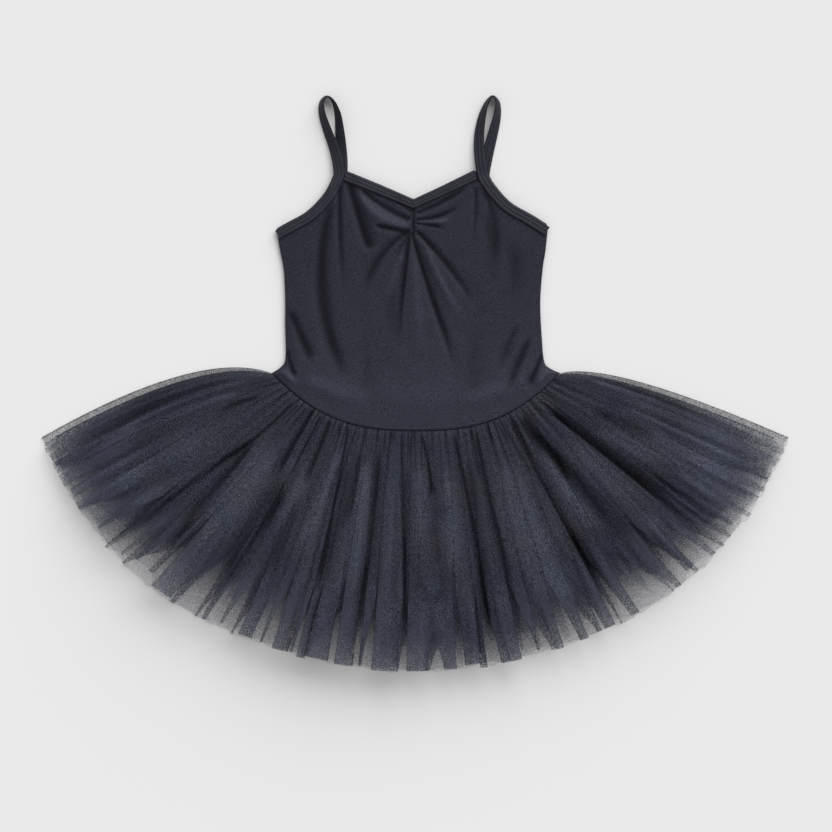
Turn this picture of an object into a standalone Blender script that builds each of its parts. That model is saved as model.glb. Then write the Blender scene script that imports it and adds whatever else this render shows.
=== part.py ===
"""Child's ballet tutu dress, laid flat on its back with the shoulder straps towards +Y.

Metres, +Z up. The plane z = 0 is the surface that the dress lies on, and the origin is the middle of
its outline seen from above. Every length in the tables and constants below is in millimetres, and
MM turns it into metres where a mesh is made.
"""
import math

import bmesh
import bpy
import numpy as np

MM = 0.001

# Walls and seams
CLOTH = 1.2        # bodice cloth, front and back
NET = 1.1          # one layer of net, measured upright
BAND = 2.0         # folded binding and strap
BAND_WIDTH = 11.0
GAP = 0.3          # left between two pieces at a seam

# Waist seam: the lowest point lies WAIST_DROP below its two ends
WAIST_LOW_Y = -47.5
WAIST_MIDDLE_X = 1.5
WAIST_HALF = 144.0
WAIST_DROP = 58.0
WAIST_POWER = 2.7

# Side edges of the bodice, from the waist up to the armhole (x, y)
SIDE_LEFT = [(-142.5, 10.5), (-133.5, 16.5), (-128.8, 26.0), (-129.2, 60.0), (-129.2, 87.0),
             (-130.8, 115.5), (-134.7, 135.5), (-137.0, 150.0)]
SIDE_RIGHT = [(145.5, 10.5), (135.5, 15.0), (129.6, 22.0), (127.2, 46.5), (125.8, 72.0),
              (126.0, 90.0), (128.2, 115.5), (131.4, 137.5), (133.0, 154.0)]

# Middle line of the armhole binding, from the side seam up to the strap (x, y)
ARMHOLE_LEFT = [(-137.0, 148.8), (-126.8, 154.8), (-104.2, 167.6), (-86.6, 185.7), (-78.6, 200.0),
                (-75.3, 209.0)]
ARMHOLE_RIGHT = [(133.0, 152.2), (115.9, 163.1), (92.1, 177.2), (74.5, 197.0), (68.0, 208.4)]
# The back armhole lies under the front one, and leaves it near the top (x, y)
BACK_ARMHOLE_LEFT = [(-135.5, 149.2), (-126.2, 154.0), (-103.6, 166.8), (-85.6, 185.0),
                     (-76.2, 198.0), (-72.6, 209.0)]
BACK_ARMHOLE_RIGHT = [(131.5, 152.6), (115.3, 162.3), (91.5, 176.4), (75.4, 194.5), (69.6, 208.4)]

# Free loop of each strap, from the front root over the top and down to the back root.
# turn is the angle, in degrees, of the band's width above the level; 90 stands it on edge.
STRAP_LEFT = [
    # x, y, z, turn
    (-76.8, 221.0, 6.6, 12.0),
    (-80.6, 235.5, 6.0, 24.0),
    (-87.3, 253.5, 5.2, 38.0),
    (-92.3, 269.5, 5.4, 52.0),
    (-92.6, 281.0, 5.7, 68.0),
    (-87.2, 286.6, 5.9, 84.0),
    (-81.0, 281.0, 5.9, 104.0),
    (-76.6, 268.5, 5.4, 126.0),
    (-74.8, 253.5, 4.5, 145.0),
    (-73.6, 239.0, 2.6, 164.0),
    (-72.4, 223.0, 1.4, 177.0),
]
STRAP_RIGHT = [
    # x, y, z, turn
    (65.6, 222.0, 6.6, 8.0),
    (64.4, 237.0, 6.0, 18.0),
    (65.2, 254.0, 5.0, 32.0),
    (68.4, 270.0, 5.4, 52.0),
    (72.9, 281.5, 5.8, 72.0),
    (78.2, 286.9, 5.9, 86.0),
    (83.2, 280.5, 5.7, 68.0),
    (82.6, 267.5, 5.1, 46.0),
    (79.2, 253.0, 4.1, 28.0),
    (75.6, 239.0, 2.5, 14.0),
    (72.0, 223.0, 1.4, 3.0),
]
STRAP_SECTIONS = 84

# Neckline of the front: a shallow V gathered at its point (x, y)
NECK_UPPER = [(-67.3, 212.2), (-34.0, 198.6), (-0.9, 184.2), (28.0, 197.6), (59.6, 213.2)]
NECK_LOWER = [(-70.9, 202.6), (-37.0, 189.2), (-0.9, 174.4), (30.0, 188.2), (62.9, 203.4)]
# Neckline of the back: a deeper scoop, out of sight under the front (x, y)
BACK_NECK_UPPER = [(-67.2, 205.0), (-54.0, 182.0), (-30.0, 165.0), (-2.0, 159.0), (26.0, 165.0),
                   (50.0, 182.0), (63.7, 205.0)]
BACK_NECK_LOWER = [(-69.8, 193.8), (-59.0, 173.6), (-33.0, 155.6), (-2.0, 149.0), (29.0, 155.6),
                   (55.0, 173.6), (67.6, 193.8)]
NECK_SECTIONS = 25
FRONT_ROWS = 18
BACK_ROWS = 9
PANEL_INSET = 1.0  # the cut edge of a panel stays this far inside its binding's edge

# How high the front panel's lower face lies above the surface
FRONT_SEAM_Z = 1.5
FRONT_ARMHOLE_Z = 2.5
FRONT_WAIST_Z = 8.0
FRONT_CHEST_Z = 4.6
FRONT_NECK_Z = 3.9
SIDE_ROUNDING = 9  # higher keeps the front level closer to its side seams

# Largest folds of the front: start, end, sideways bow, height (below 0 is a trough), half width
FRONT_FOLDS = [
    # x0, y0, x1, y1, bow, height, width
    (-68.0, 199.0, -39.0, 130.0, 5.0, -1.6, 8.0),
    (-60.0, 196.0, -6.0, 152.0, -3.0, 1.3, 8.0),
    (-76.0, 196.0, -70.0, 8.0, -22.0, -1.4, 11.0),
    (-42.0, 158.0, -3.0, 151.0, 3.0, -1.3, 5.5),
    (-15.0, 150.0, -47.0, 100.0, -5.0, -1.2, 8.0),
    (-2.0, 150.0, -12.0, 84.0, -3.0, -1.2, 7.0),
    (-1.0, 150.0, 43.0, 18.0, -5.0, -1.7, 8.0),
    (1.0, 152.0, 53.0, 86.0, 5.0, -1.0, 8.0),
    (0.0, 163.0, 38.0, 172.0, -3.0, -1.2, 5.5),
    (0.0, 161.0, 33.0, 157.0, 2.0, 1.2, 6.0),
    (64.0, 198.0, 60.0, 140.0, 3.0, -1.0, 9.0),
    (122.0, 58.0, 93.0, 0.0, -4.0, -1.4, 9.0),
    (-123.0, 72.0, -100.0, 22.0, -3.0, -1.1, 9.0),
]
FOLD_FADE = 0.22   # share of a fold's length over which it dies out at each end

# Net skirt. The hem is an arc about a centre behind the bodice, fuller at its quarters
HEM_CENTRE = (0.5, 126.5)
HEM_RADIUS = 414.4
HEM_SWELL = 8.0
HEM_SWELL_POWER = 1.6
HEM_HALF_ANGLE = 64.2
HEM_SPREAD = 0.07  # how far the gathers lean away from the middle, as a share of the hem
EDGE_LIFT_LEFT = (43.0, 58.0)
EDGE_LIFT_RIGHT = (-63.0, 45.0)
EDGE_LIFT_SHARE = 0.1
SKIRT_ROWS = (0.0, 0.14, 0.4, 0.7, 1.0)  # shares of the way down, closer under the waist

# Side folds of the skirt, as shares of its width
FOLD_SHARE = 0.006
NEST_SHARE = 0.030  # each layer's fold lies this far inside the next one's
LAYER_GAP = 0.5     # between two layers at the waist
HEM_GAP = 0.6       # added to it at the hem
PUFF_SHARE = 0.07   # the layers part over this share past the last fold

# Layers from the outside in: how much shorter each hangs, pleats on its front and back,
# how high each half stands off at the hem and how deep its pleats are there
SKIRT_LAYERS = [
    # name, shorter, front pleats, back pleats, front lift, back lift, front depth, back depth
    ("skirt_outer", 0.00, 44, 26, 17.5, 0.0, 5.5, 4.0),
    ("skirt_middle", 0.05, 20, 14, 13.6, 4.2, 3.4, 3.2),
    ("skirt_inner", 0.11, 12, 10, 10.6, 7.6, 2.7, 2.6),
]
# One pleat across: share of its pitch and height, steep on one side and easy on the other
PLEAT = np.array([(0.00, 0.0), (0.30, 1.0), (0.55, 0.8), (0.80, 0.12)])
PLEAT_DRIFT = 0.22  # how far a pleat may lie from its even place, in pitches
PLEAT_FLOOR = 0.62  # depth of the shallowest pleat, as a share of the deepest
HEM_NOTCH = 0.014   # how far the hem draws back between two pleats, as a share of the length


def smooth_curve(rows, count):
    """Catmull-Rom curve through the rows, read at `count` points evenly spaced along it."""
    rows = np.array(rows, float)
    ends = np.vstack([2 * rows[0] - rows[1], rows, 2 * rows[-1] - rows[-2]])
    t = np.linspace(0, 1, 24, endpoint=False)[:, None]
    runs = []
    for before, start, stop, after in zip(ends, ends[1:], ends[2:], ends[3:]):
        runs.append(0.5 * (2 * start + (stop - before) * t
                           + (2 * before - 5 * start + 4 * stop - after) * t ** 2
                           + (3 * start - before - 3 * stop + after) * t ** 3))
    fine = np.vstack(runs + [rows[-1:]])
    return even_points(fine, count)


def even_points(line, count):
    """`count` points evenly spaced along a line of points, going by its first two or three columns."""
    step = np.linalg.norm(np.diff(line[:, :3], axis=0), axis=1)
    along = np.concatenate([[0], np.cumsum(step)])
    places = np.linspace(0, along[-1], count)
    return np.column_stack([np.interp(places, along, column) for column in line.T])


def sideways(line):
    """Unit vectors to the left of a line's direction, seen from above."""
    forward = np.gradient(line[:, :2], axis=0)
    forward /= np.linalg.norm(forward, axis=1)[:, None]
    return np.column_stack([-forward[:, 1], forward[:, 0]])


def waist_y(x):
    """The waist seam: flat in the middle and steeper towards its ends."""
    return WAIST_LOW_Y + WAIST_DROP * (np.abs(x - WAIST_MIDDLE_X) / WAIST_HALF) ** WAIST_POWER


def waist_point(share):
    """Points at shares of the waist seam's length, moved off the bodice by the seam gap."""
    x = np.linspace(WAIST_MIDDLE_X - WAIST_HALF, WAIST_MIDDLE_X + WAIST_HALF, 400)
    line = np.column_stack([x, waist_y(x)])
    line = line - GAP * sideways(line)
    step = np.linalg.norm(np.diff(line, axis=0), axis=1)
    along = np.concatenate([[0], np.cumsum(step)]) / step.sum()
    return np.stack([np.interp(share, along, line[:, 0]), np.interp(share, along, line[:, 1])], -1)


def hem_point(share):
    """Points at shares of the hem's angle, from the left tip to the right one."""
    turn = (2 * share - 1) * math.radians(HEM_HALF_ANGLE)
    swell = np.sin(math.pi * np.abs(2 * share - 1) ** HEM_SWELL_POWER) ** 2
    radius = HEM_RADIUS + HEM_SWELL * swell
    return np.stack([HEM_CENTRE[0] + radius * np.sin(turn), HEM_CENTRE[1] - radius * np.cos(turn)], -1)


def skirt_place(share, down):
    """Plan position at a share of the width and a share of the way from the waist to the hem.

    A gather runs straight between the two, but the outermost ones bow up along the skirt's top edge.
    """
    start = waist_point(share)
    end = hem_point(share + HEM_SPREAD * np.sin(2 * math.pi * share))
    left = np.clip(1 - share / EDGE_LIFT_SHARE, 0, None)[..., None] ** 2
    right = np.clip(1 - (1 - share) / EDGE_LIFT_SHARE, 0, None)[..., None] ** 2
    middle = (start + end) / 2 + left * EDGE_LIFT_LEFT + right * EDGE_LIFT_RIGHT
    down = down[..., None]
    return (1 - down) ** 2 * start + 2 * down * (1 - down) * middle + down ** 2 * end


def fold_height(x, y):
    """Sum of the soft ridges and troughs of the front, each dying out towards its ends."""
    height = np.zeros_like(x)
    for x0, y0, x1, y1, bow, rise, width in FRONT_FOLDS:
        length = math.hypot(x1 - x0, y1 - y0)
        along = ((x - x0) * (x1 - x0) + (y - y0) * (y1 - y0)) / length ** 2
        across = ((y - y0) * (x1 - x0) - (x - x0) * (y1 - y0)) / length
        inside = np.clip(along, 0, 1)
        fade = np.clip(np.minimum(along, 1 - along) / FOLD_FADE, 0, 1)
        offset = across - bow * 4 * inside * (1 - inside)
        height += rise * fade * fade * (3 - 2 * fade) * np.exp(-(offset / width) ** 2)
    return height


def front_z(x, y):
    """Height of the front panel's lower face: low at the side seams and rounded up between them."""
    left = np.interp(y, *np.array(SIDE_LEFT).T[::-1])
    right = np.interp(y, *np.array(SIDE_RIGHT).T[::-1])
    across = np.clip(np.abs(2 * x - left - right) / (right - left), 0, 1)
    crown = 1 - across ** SIDE_ROUNDING
    top = SIDE_LEFT[-1][1]
    seam = np.interp(y, [0, top], [FRONT_SEAM_Z, FRONT_ARMHOLE_Z])
    puff = np.interp(y, [WAIST_LOW_Y, top / 2, NECK_UPPER[-1][1]],
                     [FRONT_WAIST_Z, FRONT_CHEST_Z, FRONT_NECK_Z])
    return seam + (puff - seam) * crown + fold_height(x, y) * crown


def level_steps(line, corners, steps):
    """Points of a line at even steps of x between its corners, a number of steps for each stretch."""
    runs = [np.linspace(a, b, n, endpoint=False) for a, b, n in zip(corners, corners[1:], steps)]
    x = np.concatenate(runs + [corners[-1:]])
    return np.column_stack([x, np.interp(x, *line.T)])


def panel_plan(side_left, side_right, top, rows):
    """Plan grid of a panel between its four edges, blended in from all of them (a Coons patch)."""
    low_x = np.interp(top[:, 0], top[[0, -1], 0], [side_left[0][0], side_right[0][0]])
    low = np.column_stack([low_x, waist_y(low_x)])
    left = even_points(np.array(side_left, float), rows)
    right = even_points(np.array(side_right, float), rows)
    left[[0, -1]] = low[0], top[0]
    right[[0, -1]] = low[-1], top[-1]
    u = np.linspace(0, 1, len(top))[None, :, None]
    v = np.linspace(0, 1, rows)[:, None, None]
    upright = (1 - v) * low[None] + v * top[None]
    level = (1 - u) * left[:, None] + u * right[:, None]
    corner = (1 - u) * upright[:, :1] + u * upright[:, -1:]
    return upright + level - corner


def armhole_edge(line, reach, leftward):
    """The line moved sideways by `reach`, to its left where `leftward`."""
    fine = smooth_curve(line, 30)
    return fine + (reach if leftward else -reach) * sideways(fine)


def add_object(name, points, faces, finish):
    """A mesh object from points in millimetres, with its faces turned outwards."""
    mesh = bpy.data.meshes.new(name)
    mesh.from_pydata((np.asarray(points) * MM).tolist(), [], faces)
    shape = bmesh.new()
    shape.from_mesh(mesh)
    bmesh.ops.recalc_face_normals(shape, faces=shape.faces)
    shape.to_mesh(mesh)
    shape.free()
    mesh.materials.append(finish)
    placed = bpy.data.objects.new(name, mesh)
    bpy.context.scene.collection.objects.link(placed)
    return placed


def grid_faces(index, joined):
    """Quads of a grid of point numbers, whose rows close into rings where `joined`."""
    if joined:
        index = np.column_stack([index, index[:, 0]])
    quads = np.stack([index[:-1, :-1], index[:-1, 1:], index[1:, 1:], index[1:, :-1]], -1)
    return quads.reshape(-1, 4)


def add_wall(name, outer, inner, joined, finish):
    """A wall between two grids of points: a panel, or a tube open at both ends where `joined`."""
    rows, columns = outer.shape[:2]
    index = np.arange(rows * columns).reshape(rows, columns)
    under = index + rows * columns
    faces = [grid_faces(index, joined), grid_faces(under, joined)[:, ::-1]]
    if joined:
        rims = [0, -1]
        faces += [grid_faces(np.stack([index[rim], under[rim]]), True) for rim in rims]
    else:
        around = np.concatenate([index[0, :-1], index[:-1, -1], index[-1, :0:-1], index[:0:-1, 0]])
        faces.append(grid_faces(np.stack([around, around + rows * columns]), True))
    points = np.concatenate([outer.reshape(-1, 3), inner.reshape(-1, 3)])
    return add_object(name, points, np.concatenate(faces).tolist(), finish)


def add_band(name, sections, finish):
    """A band through its sections, each a ring of corner points, closed at both ends."""
    count, corners = sections.shape[:2]
    index = np.arange(count * corners).reshape(count, corners)
    faces = grid_faces(index, True).tolist()
    faces += [index[0].tolist(), index[-1][::-1].tolist()]
    return add_object(name, sections.reshape(-1, 3), faces, finish)


def with_z(plan, z):
    """Plan points with their heights."""
    return np.concatenate([plan, np.broadcast_to(z, plan.shape[:-1])[..., None]], -1)


def make_front(finish):
    """Front panel: armhole, strap root, shallow V and the rounded waist, with its folds."""
    inset = BAND_WIDTH / 2 - PANEL_INSET
    left = armhole_edge(ARMHOLE_LEFT, inset, True)
    right = armhole_edge(ARMHOLE_RIGHT, inset, False)
    neck = np.array(NECK_UPPER) - (0, PANEL_INSET)
    top_line = np.vstack([left, neck, right[::-1]])
    corners = [left[0, 0], left[-1, 0], neck[0, 0], neck[2, 0], neck[-1, 0], right[-1, 0], right[0, 0]]
    top = level_steps(top_line, corners, [9, 2, 9, 9, 2, 9])
    plan = panel_plan(SIDE_LEFT, SIDE_RIGHT, top, FRONT_ROWS)
    low = front_z(plan[..., 0], plan[..., 1])
    add_wall("bodice_front", with_z(plan, low + CLOTH), with_z(plan, low), False, finish)


def make_back(finish):
    """Back panel: flat on the surface, cut lower at the neck, stopping short of its bindings."""
    inset = BAND_WIDTH / 2 + 1.5 * GAP
    left = armhole_edge(BACK_ARMHOLE_LEFT, inset, False)
    right = armhole_edge(BACK_ARMHOLE_RIGHT, inset, True)
    neck = even_points(smooth_curve(BACK_NECK_LOWER, 60), NECK_SECTIONS)
    neck = neck - GAP * sideways(neck)
    left = even_points(left[left[:, 0] < neck[0, 0] - GAP], 10)
    right = even_points(right[right[:, 0] > neck[-1, 0] + GAP], 10)
    side_left = [row for row in SIDE_LEFT if row[1] < left[0, 1]] + [tuple(left[0])]
    side_right = [row for row in SIDE_RIGHT if row[1] < right[0, 1]] + [tuple(right[0])]
    plan = panel_plan(side_left, side_right, np.vstack([left, neck, right[::-1]]), BACK_ROWS)
    add_wall("bodice_back", with_z(plan, CLOTH), with_z(plan, 0), False, finish)


def make_neck_binding(name, upper, lower, low, finish):
    """Folded binding between its upper and lower edge, on the heights that `low` gives."""
    edges = [even_points(np.array(upper, float), NECK_SECTIONS),
             even_points(np.array(lower, float), NECK_SECTIONS)]
    feet = np.array([low(edge[:, 0], edge[:, 1]) for edge in edges])
    hump = low(*((edges[0] + edges[1]) / 2).T) - feet.mean(0)
    feet = feet + np.clip(hump, 0, None)
    sections = np.stack([with_z(edges[0], feet[0]), with_z(edges[1], feet[1]),
                         with_z(edges[1], feet[1] + BAND), with_z(edges[0], feet[0] + BAND)], 1)
    add_band(name, sections, finish)


def on_front(x, y):
    """Lowest height for what lies on the front panel."""
    return front_z(x, y) + CLOTH + GAP


def on_surface(x, y):
    """Height of what lies on the surface itself."""
    return np.zeros_like(x)


def lay_on_front(line):
    """Rows x, y, z, turn of a band's middle line laid on the front panel."""
    aside = sideways(line) * BAND_WIDTH / 2
    left = on_front(*(line + aside).T)
    right = on_front(*(line - aside).T)
    level = np.maximum((left + right) / 2, on_front(*line.T))
    turn = np.degrees(np.arctan2(right - left, BAND_WIDTH))
    return np.column_stack([line, level + BAND / 2, turn])


def make_strap(name, front, loop, back, back_turn, finish):
    """One band: up the front armhole, over the free loop and down the back armhole."""
    front_rows = lay_on_front(smooth_curve(front, 9))
    back_line = smooth_curve(back, 9)[::-1]
    back_rows = np.column_stack([back_line, np.full(9, BAND / 2), np.full(9, back_turn)])
    path = smooth_curve(np.vstack([front_rows, loop, back_rows]), STRAP_SECTIONS)
    turn = np.radians(path[:, 3:])
    half_height = BAND_WIDTH / 2 * np.abs(np.sin(turn[:, 0])) + BAND / 2 * np.abs(np.cos(turn[:, 0]))
    centre = np.column_stack([path[:, :2], np.maximum(path[:, 2], half_height)])
    right = np.column_stack([-sideways(centre), np.zeros(len(centre))])
    across = np.cos(turn) * right + np.sin(turn) * (0, 0, 1)
    forward = np.gradient(centre, axis=0)
    outward = np.cross(across, forward)
    outward /= np.linalg.norm(outward, axis=1)[:, None]
    wide = across * BAND_WIDTH / 2
    thick = outward * BAND / 2
    sections = np.stack([centre - wide - thick, centre + wide - thick,
                         centre + wide + thick, centre - wide + thick], 1)
    add_band(name, sections, finish)


def pleats(count, share_from, share_to):
    """Shares of the width and heights of `count` pleats, uneven in place and depth."""
    number = np.arange(count)
    start = number + PLEAT_DRIFT * np.sin(2.4 * number) * (number > 0)
    pitch = np.diff(np.append(start, count))
    depth = 1 - (1 - PLEAT_FLOOR) * (0.5 + 0.5 * np.sin(1.7 * number + 0.6))
    share = start[:, None] + pitch[:, None] * PLEAT[:, 0]
    height = depth[:, None] * PLEAT[:, 1]
    share = share_from + (share_to - share_from) * np.append(share.ravel(), count) / count
    return share, np.append(height.ravel(), 0)


def half_layer(layer, count):
    """Columns of one half of a layer: shares and pleat heights, with the flat steps of the side folds."""
    inner_most = FOLD_SHARE + 2 * NEST_SHARE
    share, height = pleats(count, inner_most, 1 - inner_most)
    steps = np.arange(FOLD_SHARE + layer * NEST_SHARE, inner_most - NEST_SHARE / 4, NEST_SHARE / 2)
    share = np.concatenate([steps, share, 1 - steps[::-1]])
    height = np.concatenate([0 * steps, height, 0 * steps])
    return share, height


def parting(share):
    """How far the layers part at a share of the width: 0 over the side folds, 1 past them."""
    aside = np.minimum(share, 1 - share) - FOLD_SHARE - 2 * NEST_SHARE
    t = np.clip(aside / PUFF_SHARE, 0, 1)
    return t * t * (3 - 2 * t)


def make_layer(order, layer, finish):
    """One net layer: a flattened tube from waist to hem, folded at its two sides."""
    name, shorter, front_count, back_count, front_lift, back_lift, front_depth, back_depth = layer
    down = np.array(SKIRT_ROWS)[:, None]
    down[-1] -= shorter
    front_share, front_height = half_layer(order, front_count)
    back_share, back_height = half_layer(order, back_count)
    nested = np.clip((np.minimum(front_share, 1 - front_share) - FOLD_SHARE) / NEST_SHARE, order, 2)
    pitch = NET + LAYER_GAP + HEM_GAP * down
    front_low = pitch * (1 + order + 2 * (nested - order))
    front_low = front_low + (front_lift + front_depth * front_height) * parting(front_share) * down
    back_low = pitch * order
    back_low = back_low + (back_lift + back_depth * back_height) * parting(back_share) * down
    fold = pitch * (order + 0.5) + NET / 2
    notch = np.concatenate([[0], 1 - front_height, [0], 1 - back_height[::-1]])
    reach = np.repeat(down, len(notch), 1)
    reach[-1] -= HEM_NOTCH * notch
    walls = []
    for inward, front_wall, back_wall in ((0, front_low + NET, back_low),
                                          (FOLD_SHARE / 2, front_low, back_low + NET)):
        edge = order * NEST_SHARE + inward
        share = np.concatenate([[edge], front_share, [1 - edge], back_share[::-1]])
        z = np.concatenate([fold, front_wall, fold, back_wall[:, ::-1]], 1)
        walls.append(with_z(skirt_place(share, reach), z))
    add_wall(name, walls[0], walls[1], True, finish)


def make_finish(name, colour, roughness):
    """A Principled material of one colour."""
    finish = bpy.data.materials.new(name)
    finish.use_nodes = True
    shader = finish.node_tree.nodes["Principled BSDF"]
    shader.inputs["Base Color"].default_value = (*colour, 1)
    shader.inputs["Roughness"].default_value = roughness
    shader.inputs["Metallic"].default_value = 0
    finish.diffuse_color = (*colour, 1)
    return finish


def main():
    for old in list(bpy.data.objects):
        bpy.data.objects.remove(old, do_unlink=True)
    knit = make_finish("knit", (0.033, 0.033, 0.045), 0.5)
    binding = make_finish("binding", (0.037, 0.037, 0.048), 0.55)
    net = make_finish("net", (0.038, 0.038, 0.052), 0.8)
    make_back(knit)
    make_front(knit)
    make_neck_binding("neck_binding_front", NECK_UPPER, NECK_LOWER, on_front, binding)
    make_neck_binding("neck_binding_back", smooth_curve(BACK_NECK_UPPER, 60),
                      smooth_curve(BACK_NECK_LOWER, 60), on_surface, binding)
    make_strap("strap_left", ARMHOLE_LEFT, STRAP_LEFT, BACK_ARMHOLE_LEFT, 180.0, binding)
    make_strap("strap_right", ARMHOLE_RIGHT, STRAP_RIGHT, BACK_ARMHOLE_RIGHT, 0.0, binding)
    for order, layer in enumerate(SKIRT_LAYERS):
        make_layer(order, layer, net)


main()
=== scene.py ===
"""Child's ballet tutu dress laid flat: satin knit bodice, bound edges, looped straps and a net skirt.

Tables and constants are in millimetres, and MM turns them into metres where a mesh is made.
+Y runs from the skirt to the straps, and z = 0 is the surface that the dress lies on.
"""
import math

import bpy
import numpy as np
from bpy.props import FloatProperty, FloatVectorProperty, IntProperty, PointerProperty
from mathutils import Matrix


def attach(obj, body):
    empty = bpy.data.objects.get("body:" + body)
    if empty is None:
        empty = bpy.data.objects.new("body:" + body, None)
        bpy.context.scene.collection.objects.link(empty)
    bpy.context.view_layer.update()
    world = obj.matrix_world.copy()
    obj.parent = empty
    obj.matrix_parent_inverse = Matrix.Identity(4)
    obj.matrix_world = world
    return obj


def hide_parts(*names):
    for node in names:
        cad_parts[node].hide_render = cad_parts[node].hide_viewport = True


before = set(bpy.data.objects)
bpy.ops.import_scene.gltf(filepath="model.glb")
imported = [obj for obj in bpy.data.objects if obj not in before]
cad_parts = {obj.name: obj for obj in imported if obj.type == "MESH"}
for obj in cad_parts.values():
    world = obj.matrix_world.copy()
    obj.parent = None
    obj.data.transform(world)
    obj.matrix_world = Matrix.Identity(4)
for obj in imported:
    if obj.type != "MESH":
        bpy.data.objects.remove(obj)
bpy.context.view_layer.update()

bl_info = {
    "name": "Ballet Tutu",
    "version": (1, 0, 0),
    "blender": (4, 5, 0),
    "location": "3D View > Sidebar > Tutu",
    "description": "Makes a child's ballet tutu dress and the studio floor that it lies on",
    "category": "Add Mesh",
}

MM = 0.001

# Seams and the plan of the bodice, as in the solids
GAP = 0.3           # between two edges that are sewn together
WAIST_LOW_Y = -47.5
WAIST_MIDDLE_X = 1.5
WAIST_HALF = 144.0
WAIST_DROP = 58.0   # how much higher the waist seam ends than its lowest point
WAIST_POWER = 2.7
SIDE_LEFT = [(-142.5, 10.5), (-133.5, 16.5), (-128.8, 26.0), (-129.2, 60.0), (-129.2, 87.0),
             (-130.8, 115.5), (-134.7, 135.5), (-137.0, 150.0)]
SIDE_RIGHT = [(145.5, 10.5), (135.5, 15.0), (129.6, 22.0), (127.2, 46.5), (125.8, 72.0),
              (126.0, 90.0), (128.2, 115.5), (131.4, 137.5), (133.0, 154.0)]
ARMHOLE_LEFT = [(-137.0, 148.8), (-126.8, 154.8), (-104.2, 167.6), (-86.6, 185.7), (-78.6, 200.0),
                (-75.3, 209.0)]
ARMHOLE_RIGHT = [(133.0, 152.2), (115.9, 163.1), (92.1, 177.2), (74.5, 197.0), (68.0, 208.4)]
BACK_ARMHOLE_LEFT = [(-135.5, 149.2), (-126.2, 154.0), (-103.6, 166.8), (-85.6, 185.0),
                     (-76.2, 198.0), (-72.6, 209.0)]
BACK_ARMHOLE_RIGHT = [(131.5, 152.6), (115.3, 162.3), (91.5, 176.4), (75.4, 194.5), (69.6, 208.4)]
# Free loop of each strap: x, y, z, and the angle of the band's width above the level
STRAP_LEFT = [(-76.8, 221.0, 6.6, 12.0), (-80.6, 235.5, 6.0, 24.0), (-87.3, 253.5, 5.2, 38.0),
              (-92.3, 269.5, 5.4, 52.0), (-92.6, 281.0, 5.7, 68.0), (-87.2, 286.6, 5.9, 84.0),
              (-81.0, 281.0, 5.9, 104.0), (-76.6, 268.5, 5.4, 126.0), (-74.8, 253.5, 4.5, 145.0),
              (-73.6, 239.0, 2.6, 164.0), (-72.4, 223.0, 1.4, 177.0)]
STRAP_RIGHT = [(65.6, 222.0, 6.6, 8.0), (64.4, 237.0, 6.0, 18.0), (65.2, 254.0, 5.0, 32.0),
               (68.4, 270.0, 5.4, 52.0), (72.9, 281.5, 5.8, 72.0), (78.2, 286.9, 5.9, 86.0),
               (83.2, 280.5, 5.7, 68.0), (82.6, 267.5, 5.1, 46.0), (79.2, 253.0, 4.1, 28.0),
               (75.6, 239.0, 2.5, 14.0), (72.0, 223.0, 1.4, 3.0)]
NECK_UPPER = [(-67.3, 212.2), (-34.0, 198.6), (-0.9, 184.2), (28.0, 197.6), (59.6, 213.2)]
NECK_LOWER = [(-70.9, 202.6), (-37.0, 189.2), (-0.9, 174.4), (30.0, 188.2), (62.9, 203.4)]
BACK_NECK_UPPER = [(-67.2, 205.0), (-54.0, 182.0), (-30.0, 165.0), (-2.0, 159.0), (26.0, 165.0),
                   (50.0, 182.0), (63.7, 205.0)]
BACK_NECK_LOWER = [(-69.8, 193.8), (-59.0, 173.6), (-33.0, 155.6), (-2.0, 149.0), (29.0, 155.6),
                   (55.0, 173.6), (67.6, 193.8)]

# Height of the front panel's lower face
FRONT_SEAM_Z = 1.5
FRONT_ARMHOLE_Z = 2.5
FRONT_WAIST_Z = 8.0
FRONT_CHEST_Z = 4.6
FRONT_NECK_Z = 3.9
SIDE_ROUNDING = 9      # power by which the panel turns down to its side seams
LOWEST_FRONT_Z = 1.75  # no trough dips below this, over the back panel
WAIST_ROLL = 0.7       # depth to which the cloth rolls under along the waist seam
WAIST_ROLL_HALF = 1.3
BACK_TOP_Z = 1.1       # height of the back panel's upper face
BACK_ROWS = 90
NECK_LAP = 1.0         # how far the front panel ends inside the outer edges of its bindings
TOP_SHARES = (0.215, 0.03, 0.255, 0.255, 0.03, 0.215)  # of the front's columns: armhole, strap, neck
NECK_CROWDING = 0.35   # how much closer they lie at the middle of the neck
WAIST_POINTS = 400     # along the waist seam
EDGE_POINTS = 60       # along a side seam or an armhole
BACK_NECK_POINTS = 61
BACK_ARMHOLE_POINTS = 24
# Slack of the cloth as waves: height, radians per mm across and up, and phase
SLACK = [(0.22, 0.055, 0.031, 0.4), (0.16, -0.083, 0.047, 2.1), (0.12, 0.131, -0.072, 4.4),
         (0.07, 0.21, 0.12, 1.3), (0.05, -0.17, 0.26, 5.2)]
BACK_SLACK = [(0.10, 0.06, 0.035, 1.0), (0.08, -0.09, 0.05, 2.6), (0.06, 0.14, -0.08, 0.3)]

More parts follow.
